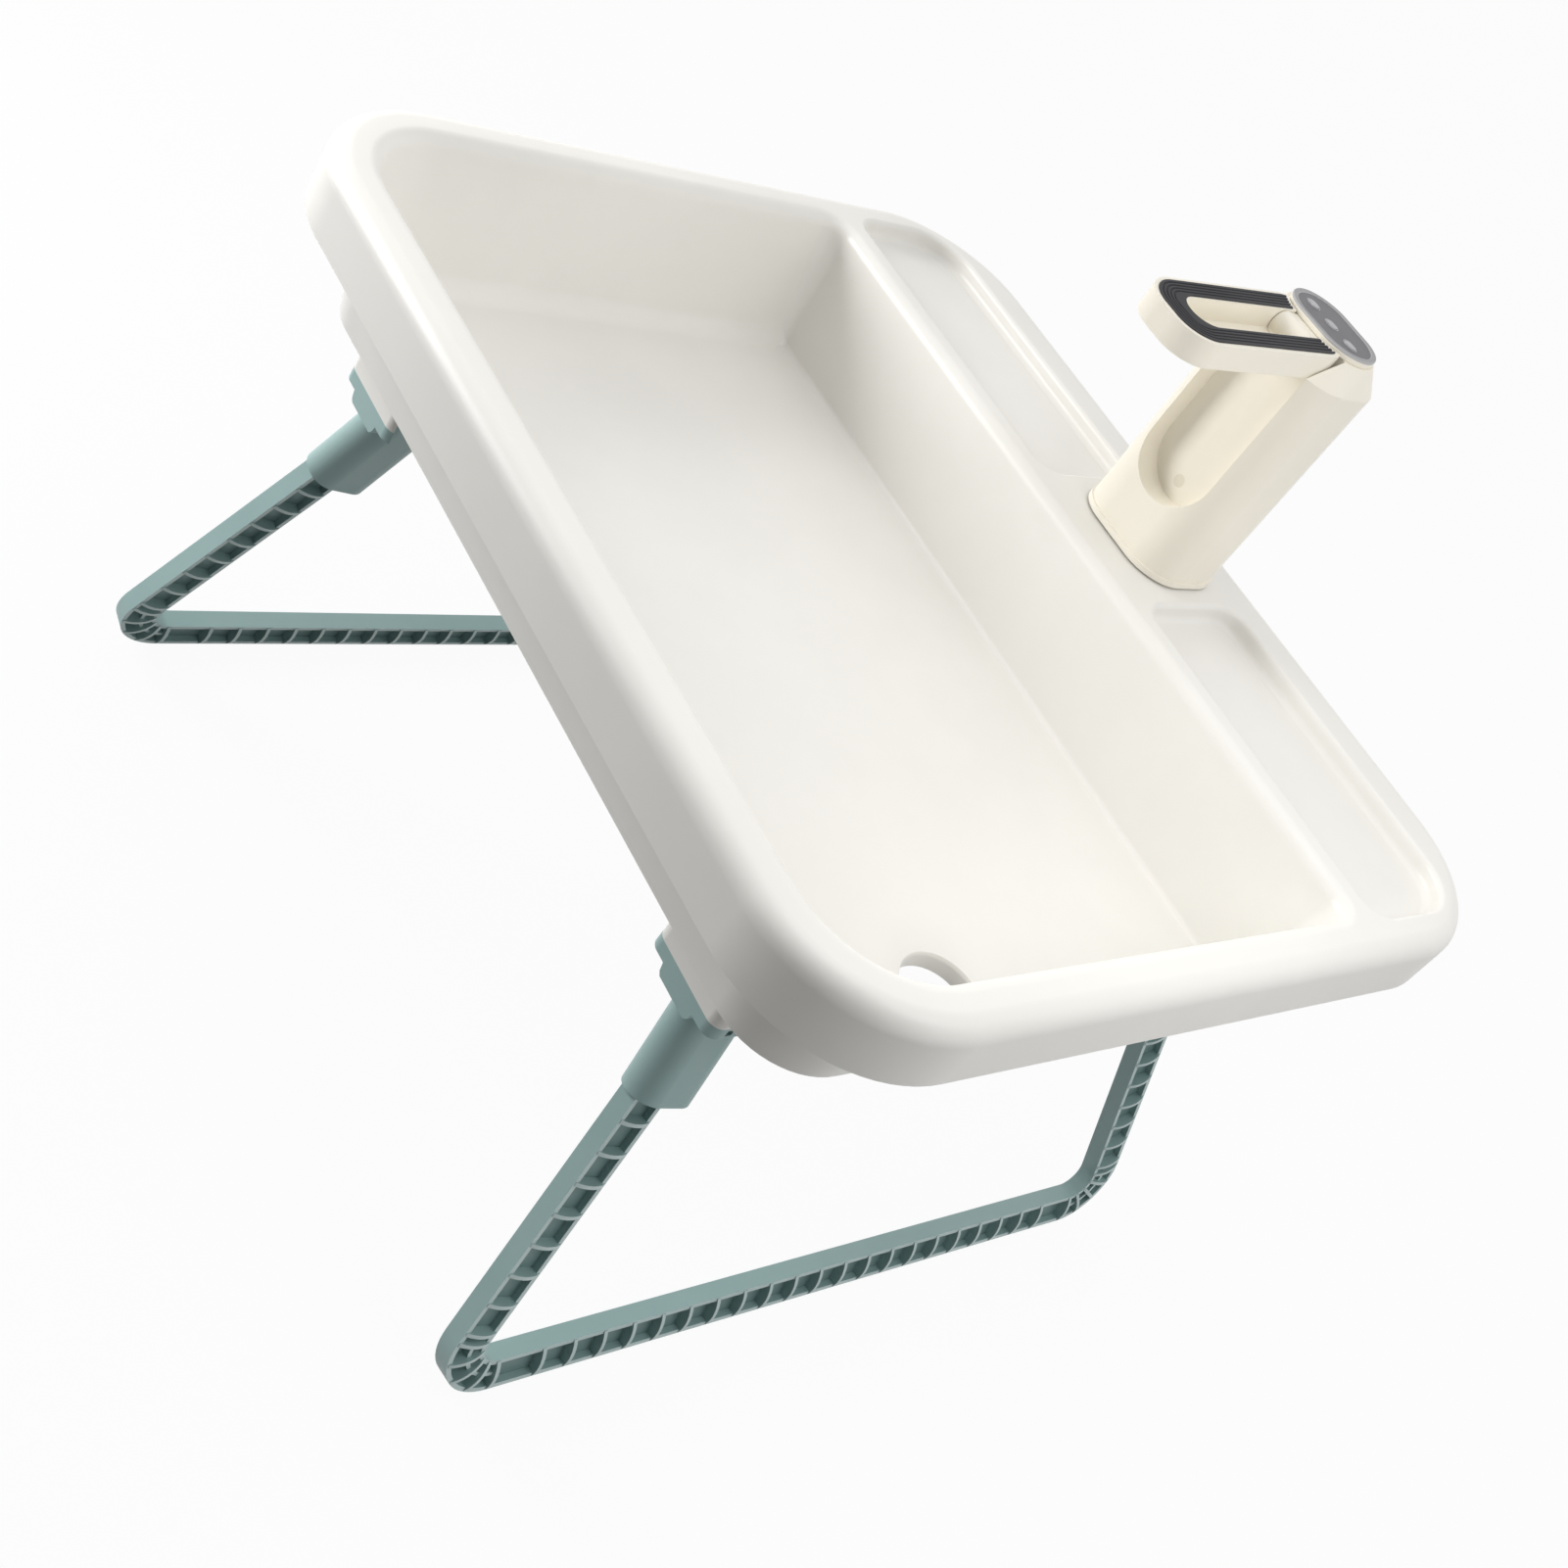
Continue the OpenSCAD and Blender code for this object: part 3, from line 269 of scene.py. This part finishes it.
def moulded(name, shades, roughness, grain, depth):
    """Moulded plastic: flow marks between two shades, a spark-eroded grain, a gloss that varies"""
    f = Finish(name)
    light, dark = shades
    mottle = f.mottle()
    specks = f.noise(grain * 0.35, detail=1.0).ramp(0.62, 0.75)
    uneven = mottle * 0.06 + f.noise(grain * 0.2) * 0.08
    f.set(base_color=f.mix(specks * 0.25, f.mix(mottle, light, dark), dark),
          roughness=uneven + (roughness - 0.07))
    f.bump(f.noise(grain, roughness=0.6), depth)
    return f


def turned_steel():
    """The screws' and pins' steel, with fine turning marks"""
    f = Finish("screw_steel", metallic=1.0)
    marks = f.noise(900.0, roughness=0.6, stretch=(1.0, 1.0, 12.0))
    f.set(base_color=f.mix(marks, (0.62, 0.62, 0.63), (0.5084, 0.5084, 0.5166)),
          roughness=marks * 0.18 + 0.26)
    f.bump(marks, depth=0.02, strength=0.4)
    return f


def circuit_board():
    """Green solder mask over copper tracks"""
    f = Finish("circuit_board", coat_weight=0.3)
    board, track = (0.0, 0.0, 0.0), (1.0, 1.0, 1.0)
    tracks = f.node("ShaderNodeTexBrick", {"offset": 0.37}, {
        "Vector": f.place, "Scale": 260.0, "Mortar Size": 0.08,
        "Color1": board, "Color2": board, "Mortar": track})
    f.set(base_color=f.mix(tracks, (0.02, 0.16, 0.07), (0.05, 0.27, 0.12)),
          roughness=f.noise(700.0) * 0.2 + 0.3)
    f.bump(tracks, depth=0.04, strength=0.6)
    return f


def ribbed(name, side):
    """A frame's plastic, with a painted highlight on the thin edges of its ribs and walls and painted shade down
    in its cells
    """
    f = moulded(name, TEAL, roughness=0.44, grain=2200.0, depth=0.05)
    across = (side * math.cos(SPLAY), 0.0, math.sin(SPLAY))
    middle = HINGE_X * math.cos(SPLAY) + HINGE_Z * math.sin(SPLAY)
    depth = (f.along(f.place, across) - middle).apply("ABSOLUTE")
    turned = f.facing(across).apply("ABSOLUTE")
    # Painted highlight on the thin edges that face across, painted shade down in the cells on the web
    edge = depth.ramp(EDGE_HIGHLIGHT_NEAR, EDGE_HIGHLIGHT_FAR) * turned.ramp(0.35, 0.60)
    cell_shade = depth.ramp(CELL_SHADE_FAR, CELL_SHADE_NEAR) * turned.ramp(0.80, 0.95)
    # The colours of the painted cell shade and of the painted edge highlight
    deep, highlight_teal = (0.060, 0.120, 0.115), (0.66, 0.76, 0.75)
    f.set(base_color=f.mix(edge * 0.60, f.mix(cell_shade * 0.62, f.colour(), deep), highlight_teal))
    return f


def panel_border():
    """The border's grey top with a painted highlight, paler where its edge rounds off, on a skirt in the head's
    cream
    """
    f = Finish("bezel_grey")
    level = f.along(f.place, UP).ramp(BORDER_TOP - SKIRT_END, BORDER_TOP - SKIRT_TOP)
    # Painted highlight: the top is paler round its edge, where it stops facing up
    flat = f.facing(UP).ramp(0.90, 0.99)
    mottle = f.mottle()
    grey = f.mix(flat, (0.46, 0.458, 0.465), (0.30, 0.298, 0.305))
    f.set(base_color=f.mix(level, f.mix(mottle, *CREAM), grey), roughness=mottle * 0.06 + 0.34)
    f.bump(f.noise(2600.0, roughness=0.6), depth=0.02)
    return f


def key_plastic():
    """The keys' light plastic, worn slightly paler where fingers press"""
    f = Finish("key_plastic")
    wear = f.noise(180.0, detail=3.0).ramp(0.4, 0.7)
    f.set(base_color=f.mix(wear, (0.42, 0.42, 0.435), (0.52, 0.52, 0.535)),
          roughness=wear * 0.12 + 0.38)
    f.bump(f.noise(2600.0), depth=0.03)
    return f


finishes = {
    "basin": moulded("basin_white", WHITE, roughness=0.36, grain=2400.0, depth=0.04),
    "teal": moulded("frame_teal", TEAL, roughness=0.44, grain=2200.0, depth=0.05),
    "left_frame": ribbed("left_frame_teal", side=-1),
    "right_frame": ribbed("right_frame_teal", side=1),
    "cream": moulded("faucet_cream", CREAM, roughness=0.40, grain=2600.0, depth=0.03),
    "charcoal": moulded("insert_charcoal", ((0.034, 0.034, 0.038), (0.026, 0.026, 0.030)),
                        roughness=0.62, grain=3000.0, depth=0.05),
    "rubber": moulded("seal_rubber", ((0.030, 0.030, 0.031), (0.022, 0.022, 0.023)),
                      roughness=0.75, grain=1800.0, depth=0.06),
    "panel": moulded("panel_grey", ((0.114, 0.109, 0.121), (0.103, 0.098, 0.110)),
                     roughness=0.34, grain=3200.0, depth=0.02),
    "bezel": panel_border(),
    "inner": moulded("inner_grey", ((0.45, 0.45, 0.46), (0.40, 0.40, 0.41)),
                     roughness=0.45, grain=1800.0, depth=0.04),
    "wrap": moulded("cell_wrap", ((0.02, 0.17, 0.09), (0.015, 0.14, 0.07)),
                    roughness=0.30, grain=900.0, depth=0.03),
    "steel": turned_steel(),
    "painted": moulded("painted_steel", ((0.800, 0.755, 0.640), (0.780, 0.735, 0.620)),
                       roughness=0.34, grain=2600.0, depth=0.02),
    "board": circuit_board(),
    "keys": key_plastic(),
}


# Making pieces

def coat(node, finish):
    """Gives a CAD node a finish, in each of its material slots"""
    for held in nodes[node].material_slots:
        held.material = finishes[finish].material


def merged(node):
    """A CAD node's mesh as a bmesh, with its doubled points made one"""
    bm = bmesh.new()
    bm.from_mesh(nodes[node].data)
    bmesh.ops.remove_doubles(bm, verts=bm.verts, dist=MERGE)
    return bm


def placed(name, data):
    """A new object in the scene"""
    made = bpy.data.objects.new(name, data)
    bpy.context.scene.collection.objects.link(made)
    return made


def meshed(name, bm, material):
    """A new object of a bmesh, in one material"""
    mesh = bpy.data.meshes.new(name)
    bm.to_mesh(mesh)
    bm.free()
    mesh.materials.append(material)
    return placed(name, mesh)


def finished(name, bm, finish, body, replaced=()):
    """Turns a bmesh into a piece on its body, smooth except over its creases"""
    for face in bm.faces:
        face.smooth = True
    for edge in bm.edges:
        edge.smooth = not (edge.is_manifold and edge.calc_face_angle(0.0) > CREASE)
    piece = meshed(name, bm, finishes[finish].material)
    weighted = piece.modifiers.new("even_shading", "WEIGHTED_NORMAL")
    weighted.keep_sharp = True
    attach(piece, body)
    if replaced:
        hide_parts(*replaced)


def softened(node, finish, body, width, segments=2, corner=28.0):
    """A CAD node with the small round edges, width millimetres wide, that a mould leaves"""
    bm = merged(node)
    bmesh.ops.dissolve_degenerate(bm, dist=SLIVER, edges=bm.edges)
    bmesh.ops.dissolve_limit(bm, angle_limit=FLAT, verts=bm.verts, edges=bm.edges)
    sharp = [e for e in bm.edges if e.is_manifold and e.calc_face_angle(0.0) > math.radians(corner)]
    bmesh.ops.bevel(bm, geom=sharp, offset=width * MM, offset_type="OFFSET", segments=segments,
                    profile=0.5, affect="EDGES", clamp_overlap=True, material=-1)
    coat(node, finish)
    finished("moulded_" + node, bm, finish, body, (node,))


def next_ring(bm, edges, facing, place):
    """Extrudes a ring of edges to where place puts each point"""
    made = bmesh.ops.extrude_edge_only(bm, edges=edges)["geom"]
    fresh = {g for g in made if isinstance(g, bmesh.types.BMVert)}
    ring = [g for g in made if isinstance(g, bmesh.types.BMEdge)
            and g.verts[0] in fresh and g.verts[1] in fresh]
    at = {tuple(round(c, 7) for c in v.co): data for v, data in facing.items()}
    new_facing = {v: at[tuple(round(c, 7) for c in v.co)] for v in fresh}
    for v, data in new_facing.items():
        v.co = place(v, data)
    return ring, new_facing


def key_outline(key):
    """A raised line on the panel round one key: an oval ring, carried out, up, in and down again"""
    low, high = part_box("key_" + key)
    middle = (low + high) / 2
    bottom, top = PANEL_TOP - LINE_SUNK, PANEL_TOP + LINE_PROUD
    bm = bmesh.new()
    circle = bmesh.ops.create_circle(bm, cap_ends=False, radius=1.0, segments=48)["verts"]
    edges, facing = bm.edges[:], {v: v.co.copy() for v in circle}
    for grow, z in ((0.0, bottom), (LINE_WIDTH, bottom), (LINE_WIDTH, top), (0.0, top), (0.0, bottom)):

        def place(v, way, grow=grow, z=z):
            x, y = way.x * (LINE_X + grow), way.y * (LINE_Y + grow)
            return Vector((middle.x + x, middle.y + y, z))
        edges, facing = next_ring(bm, edges, facing, place)
    bmesh.ops.delete(bm, geom=circle, context="VERTS")
    bmesh.ops.remove_doubles(bm, verts=bm.verts, dist=MERGE)
    bmesh.ops.recalc_face_normals(bm, faces=bm.faces)
    finished("key_outline_" + key, bm, "keys", "sink")


# The basin

def outline(bm, rect, radii, z, steps, cuts):
    """A rounded outline round rect; every point's two nearest corners, the way it faces, its share"""
    x0, x1, y0, y1 = rect
    corners = [(x0, y0), (x1, y0), (x1, y1), (x0, y1)]
    points = [bm.verts.new(Vector((x, y + SINK_Y, z)) * MM) for x, y in corners]
    bm.faces.new(points)
    made = {}
    for i, point in enumerate(points):
        old = set(bm.verts)
        r = radii[i]
        bmesh.ops.bevel(bm, geom=[point], offset=r * MM, offset_type="OFFSET", segments=steps,
                        profile=0.5, affect="VERTICES", clamp_overlap=False, material=-1)
        cx = corners[i][0] + (r if i in (0, 3) else -r)
        cy = corners[i][1] + (r if i < 2 else -r)
        centre = Vector((cx, cy + SINK_Y, z)) * MM
        for v in set(bm.verts) - old:
            made[v] = (i, i, (v.co - centre).normalized(), 0.0)
    face = next(f for f in bm.faces if all(v in made for v in f.verts))
    straight = [e for e in face.edges if made[e.verts[0]][0] != made[e.verts[1]][0]]
    bmesh.ops.delete(bm, geom=[face], context="FACES_ONLY")
    for edge, a, b in [(e, *e.verts) for e in straight]:
        here = a
        for k in range(cuts):
            here = bmesh.utils.edge_split(edge, here, 1.0 / (cuts + 1 - k))[1]
            edge = next(e for e in here.link_edges if e.other_vert(here) is b)
            share = (here.co - a.co).length / (b.co - a.co).length
            made[here] = (made[a][0], made[b][0], made[a][2], share)
    return [e for e in bm.edges if e.verts[0] in made], made


def corner_point(rect, radii, i, way):
    """A point of a rounded outline, by its corner and the way it faces"""
    x0, x1, y0, y1 = rect
    r = radii[i]
    cx = x0 + r if i in (0, 3) else x1 - r
    cy = y0 + r if i < 2 else y1 - r
    return Vector((cx + way.x * r, cy + way.y * r, 0.0))


def outline_place(shape, profile):
    """Where points go: profile gives (out, down) by the way a point faces, shape the outline there"""
    def place(v, data):
        i, j, way, share = data
        out, down = profile(way)
        rect, radii = shape(down, out)
        at = corner_point(rect, radii, i, way).lerp(corner_point(rect, radii, j, way), share)
        return (at + Vector((0.0, SINK_Y, RIM_TOP - down))) * MM
    return place


def swept(bm, shape, mouth, foot, depth, steps, cuts):
    """A recess with a round mouth edge and a round foot; returns its mouth ring and its foot ring"""
    ring, facing = outline(bm, *shape(0.0, mouth), RIM_TOP, steps, cuts)
    top = ring
    for degrees in range(RECESS_STEP, 91, RECESS_STEP):
        t = math.radians(degrees)

        def mouth_edge(way, t=t):
            return mouth * (1 - math.sin(t)), mouth * (1 - math.cos(t))
        ring, facing = next_ring(bm, ring, facing, outline_place(shape, mouth_edge))
    for degrees in range(0, 91, RECESS_STEP):
        t = math.radians(degrees)

        def wall_foot(way, t=t):
            r = foot(way)
            return -r * (1 - math.cos(t)), depth - r + r * math.sin(t)
        ring, facing = next_ring(bm, ring, facing, outline_place(shape, wall_foot))
    return top, ring


def tub_shape(down, out):
    """The tub's outline at a depth, as its rectangle and its corner radii"""
    end = RIM_LENGTH / 2 - RIM_BAND - WALL_LEAN * down + out
    front = -(RIM_WIDTH / 2 - RIM_BAND) + WALL_LEAN * down - out
    back = BACK_WALL - BACK_LEAN * down + out
    r_front = FRONT_CORNER - WALL_LEAN * down + out
    r_back = max(BACK_CORNER - CORNER_LEAN * down + out, LEAST_CORNER)
    return (-end, end, front, back), (r_front, r_front, r_back, r_back)


def tub_foot(way):
    """The radius at the tub's foot: wide at the left and the front, tight at the right and the back"""
    x = way.x ** 2 * (FOOT_LEFT if way.x < 0 else FOOT_TIGHT)
    y = way.y ** 2 * (FOOT_FRONT if way.y < 0 else FOOT_TIGHT)
    return x + y


def tray_shape(side):
    """The same for a tray, whose widest corner is the one in the rim's corner"""
    inner = PLATFORM_WIDTH / 2 + side * FAUCET_X
    far, front, back = RIM_LENGTH / 2 - TRAY_END, BACK_WALL + TRAY_FRONT, RIM_WIDTH / 2 - TRAY_BACK
    corners = [TRAY_CORNER] * 4
    corners[2 if side > 0 else 3] = TRAY_FAR_CORNER

    def shape(down, out):
        x = sorted((side * (inner - out), side * (far + out)))
        return (x[0], x[1], front - out, back + out), tuple(r + out for r in corners)
    return shape


def dish_height(x, y):
    """The dish's height over the tub's floor: steep at the drain, level at its end"""
    r = math.hypot(x - DRAIN_X, y - DRAIN_Y)
    t = max(0.0, min(1.0, (r - DRAIN_RADIUS) / (DISH_END - DRAIN_RADIUS)))
    return -DISH_DEPTH * (1.0 - t * (1.6 - 0.6 * t * t))


def sink_dish(points, floor_z):
    """Lowers the floor, and the foot of the wall beside it, into the dish"""
    for v in points:
        high = max(0.0, v.co.z / MM - floor_z)
        v.co.z += min(0.0, dish_height(v.co.x / MM, v.co.y / MM)) * (1.0 - high / DISH_FOOT) * MM


def open_ring(bm, centre, reach):
    """The open edges within reach of a place, seen from above"""
    return [e for e in bm.edges if e.is_boundary
            and all((Vector((v.co.x, v.co.y)) - centre).length < reach for v in e.verts)]


def rings_up(bm, edges, centre, profile):
    """Carries a round hole's ring up through radii, heights and the furthest place along X"""
    for r, z, furthest in profile:
        facing = {v: None for e in edges for v in e.verts}

        def place(v, data, r=r, z=z, furthest=furthest):
            way = (Vector((v.co.x, v.co.y)) - centre).normalized()
            reach = min(r, (furthest - centre.x / MM) / max(way.x, 1e-6)) if way.x > 0 else r
            return Vector((centre.x + way.x * reach * MM, centre.y + way.y * reach * MM, z * MM))
        edges, facing = next_ring(bm, edges, facing, place)
    return edges


def rim_edge(bm, edges):
    """The rim's outside: up from the skirt's foot and over its round top edge"""
    core = Vector((RIM_LENGTH / 2 - RIM_CORNER, RIM_WIDTH / 2 - RIM_CORNER))
    for degrees in range(0, 91, RIM_STEP):
        t = math.radians(degrees)
        radius = RIM_CORNER - RIM_ROUND * (1 - math.cos(t))
        z = RIM_TOP - RIM_ROUND * (1 - math.sin(t))
        facing = {v: None for e in edges for v in e.verts}

        def place(v, data, radius=radius, z=z):
            x, y = v.co.x / MM, v.co.y / MM - SINK_Y
            near = Vector((max(-core.x, min(core.x, x)), max(-core.y, min(core.y, y))))
            way = (Vector((x, y)) - near).normalized()
            return Vector((near.x + way.x * radius, near.y + way.y * radius + SINK_Y, z)) * MM
        edges, facing = next_ring(bm, edges, facing, place)
    return edges


def fill(bm, edges):
    """Closes a level face between rings"""
    bmesh.ops.triangle_fill(bm, use_beauty=True, use_dissolve=False, edges=edges, normal=UP)


def underside():
    """The CAD basin less all that is seen from above, and its open rings: drain, spigot, skirt"""
    bm = merged("basin")
    solid = BVHTree.FromBMesh(bm)
    clear = 0.2 * MM
    open_sky = [f for f in bm.faces
                if solid.ray_cast(f.calc_center_median() + f.normal * clear, UP)[0] is None]
    bmesh.ops.delete(bm, geom=open_sky, context="FACES")
    drain_ring = open_ring(bm, Vector((DRAIN_X, DRAIN_Y)) * MM, DRAIN_REACH * MM)
    spigot_ring = open_ring(bm, Vector((FAUCET_X, FAUCET_Y)) * MM, SPIGOT_REACH * MM)
    holes = set(drain_ring) | set(spigot_ring)
    skirt_ring = [e for e in bm.edges if e.is_boundary and e not in holes]
    return bm, drain_ring, spigot_ring, skirt_ring


def drain_lip(bm, ring, floor_z):
    """Carries the drain's ring up through its lip and out over the dish, still level"""
    lip = [(DRAIN_RADIUS, floor_z - LIP_LOW, NO_LIMIT),
           (DRAIN_RADIUS + LIP_OPENS, floor_z - LIP_HIGH, NO_LIMIT)]
    dish = [(r, floor_z, DRAIN_X + DRAIN_RADIUS + WALL_SIDE + WALL_SIDE_STEP * k)
            for k, r in enumerate(DISH_RINGS)]
    return rings_up(bm, ring, Vector((DRAIN_X, DRAIN_Y)) * MM, lip + dish)


def basin():
    """The basin: its CAD underside, with all that is seen from above made anew with soft edges"""
    bm, drain_ring, spigot_ring, skirt_ring = underside()
    kept = set(bm.verts)
    floor_z = RIM_TOP - TUB_DEPTH
    dish_top = drain_lip(bm, drain_ring, floor_z)
    spigot_top = rings_up(bm, spigot_ring, Vector((FAUCET_X, FAUCET_Y)) * MM,
                          [(SPIGOT_HOLE, RIM_TOP, NO_LIMIT)])
    rim_top = rim_edge(bm, skirt_ring)
    tub_top, foot_ring = swept(bm, tub_shape, TUB_MOUTH, tub_foot, TUB_DEPTH, steps=14, cuts=24)
    tray_tops = []
    for side in (-1, 1):
        tray_top, tray_floor = swept(bm, tray_shape(side), TRAY_MOUTH, lambda way: TRAY_FOOT,
                                     TRAY_DEPTH, steps=10, cuts=3)
        fill(bm, tray_floor)
        tray_tops += tray_top
    fill(bm, foot_ring + dish_top)
    fill(bm, rim_top + spigot_top + tub_top + tray_tops)
    near_floor = [v for v in bm.verts if v not in kept
                  and -DISH_UNDER < v.co.z / MM - floor_z < DISH_FOOT]
    sink_dish(near_floor, floor_z)
    bmesh.ops.remove_doubles(bm, verts=bm.verts, dist=MERGE)
    bmesh.ops.recalc_face_normals(bm, faces=bm.faces)
    coat("basin", "basin")
    finished("moulded_basin", bm, "basin", "sink", ("basin",))


basin()

# Brackets and leg frames

for place in ("left_front", "left_back", "right_front", "right_back"):
    softened("bracket_" + place, "teal", "sink", width=0.7)
for side in ("left", "right"):
    body = side + "_leg"
    softened(side + "_leg_frame", side + "_frame", body, width=0.25, segments=1)
    for sleeve in ("_front_socket", "_back_socket"):
        softened(side + sleeve, "teal", body, width=0.8)

# The faucet

softened("faucet_base", "cream", "sink", width=0.5)
softened("faucet_body", "cream", "sink", width=0.6)
softened("faucet_head", "cream", "sink", width=0.5, corner=32.0)
softened("hinge_block", "cream", "sink", width=0.4)
softened("spout_arm", "cream", "spout", width=0.8, segments=3)
softened("arm_insert", "charcoal", "spout", width=0.15, segments=1)
softened("panel_bezel", "bezel", "sink", width=0.5, segments=3)
softened("touch_panel", "panel", "sink", width=0.12, segments=1)
for key in ("left", "middle", "right"):
    softened("key_" + key, "keys", key + "_key", width=0.15)
    key_outline(key)

# The CAD nodes that are only given a finish

coated = {
    "steel": ["bracket_screws", "left_hinge_pins", "right_hinge_pins", "base_screws", "arm_pin",
              "charge_socket", "arm_magnet"],
    "painted": ["pocket_magnet"],
    "rubber": ["faucet_gasket", "port_cover"],
    "charcoal": ["inlet_spigot", "clamp_nut"],
    "inner": ["pump_motor", "riser_tube", "spout_nozzle"],
    "wrap": ["battery_cell"],
    "board": ["power_board", "control_board"],
}
for finish, names in coated.items():
    for name in names:
        coat(name, finish)


# Stage, light and camera

def pale_floor():
    """A plain floor that looks white and keeps a soft shadow"""
    bm = bmesh.new()
    bmesh.ops.create_grid(bm, x_segments=1, y_segments=1, size=FLOOR_SIZE)
    f = Finish("pale_floor", roughness=0.9)
    shown = f.rays("Is Camera Ray", "Is Glossy Ray", "Is Transmission Ray")
    under_sink, to_the_eye = (0.25, 0.25, 0.25), (0.6, 0.6, 0.6)
    f.set(base_color=f.mix(shown, under_sink, to_the_eye))
    white = f.node("ShaderNodeEmission", {}, {"Color": (1.0, 1.0, 1.0)})
    blend = f.node("ShaderNodeMixShader", {}, (shown * 0.95, f.surface, white))
    f.put(f.end.inputs["Surface"], blend)
    floor = meshed("floor", bm, f.material)
    floor.location.z = cad_box[0].z - FLOOR_GAP


def sky():
    """Plain white to the eye; a soft even light on the sink that fades on the dark side"""
    world = bpy.data.worlds.new("studio")
    bpy.context.scene.world = world
    w = Nodes(world)
    way = w.node("ShaderNodeTexCoord", {}, {}, "Generated")
    light = w.along(way, DARK_SIDE).ramp(-0.05, 0.88, start=0.80, end=0.03)
    seen = w.rays("Is Camera Ray", "Is Transmission Ray")
    strength = w.node("ShaderNodeMapRange", {}, {"Value": seen, "To Min": light, "To Max": 1.0})
    back = w.node("ShaderNodeBackground", {}, {"Color": (1.0, 1.0, 1.0), "Strength": strength})
    w.node("ShaderNodeOutputWorld", {}, {"Surface": back})


def softbox(name, place, aim, size, power):
    """A square lamp that the camera doesn't see"""
    lamp = bpy.data.lights.new(name, "AREA")
    lamp.shape, lamp.size, lamp.energy = "SQUARE", size, power
    box = placed(name, lamp)
    box.location = place
    box.rotation_euler = (Vector(aim) - Vector(place)).to_track_quat("-Z", "Y").to_euler()
    box.visible_camera = False


def photo_camera():
    """The photograph's camera, turned about its own view by its roll"""
    lens = bpy.data.cameras.new("photo_camera")
    lens.sensor_width, lens.lens = SENSOR_WIDTH, FOCAL_LENGTH
    camera = placed("photo_camera", lens)
    place = Vector(CAMERA_PLACE)
    look = (Vector(CAMERA_AIM) - place).to_track_quat("-Z", "Y").to_matrix().to_4x4()
    camera.matrix_world = Matrix.Translation(place) @ look @ Matrix.Rotation(CAMERA_ROLL, 4, "Z")
    bpy.context.scene.camera = camera


pale_floor()
sky()
softbox("top_light", (-0.3, 0.1, 1.4), aim=(-0.05, 0, 0.25), size=1.5, power=0.6)
softbox("key_light", (0.10, -0.05, 0.90), aim=(-0.15, 0.10, 0.24), size=0.35, power=0.6)
softbox("right_light", (1.4, 0.1, 0.42), aim=(-0.2, 0, 0.26), size=0.9, power=2.6)
softbox("left_light", (-0.78, -0.62, 0.50), aim=(-0.24, -0.2, 0.26), size=0.4, power=6.8)
softbox("faucet_light", (0.36, -0.04, 0.56), aim=(0.02, 0.13, 0.37), size=0.2, power=0.42)
photo_camera()
bpy.context.scene.view_settings.view_transform = "Standard"
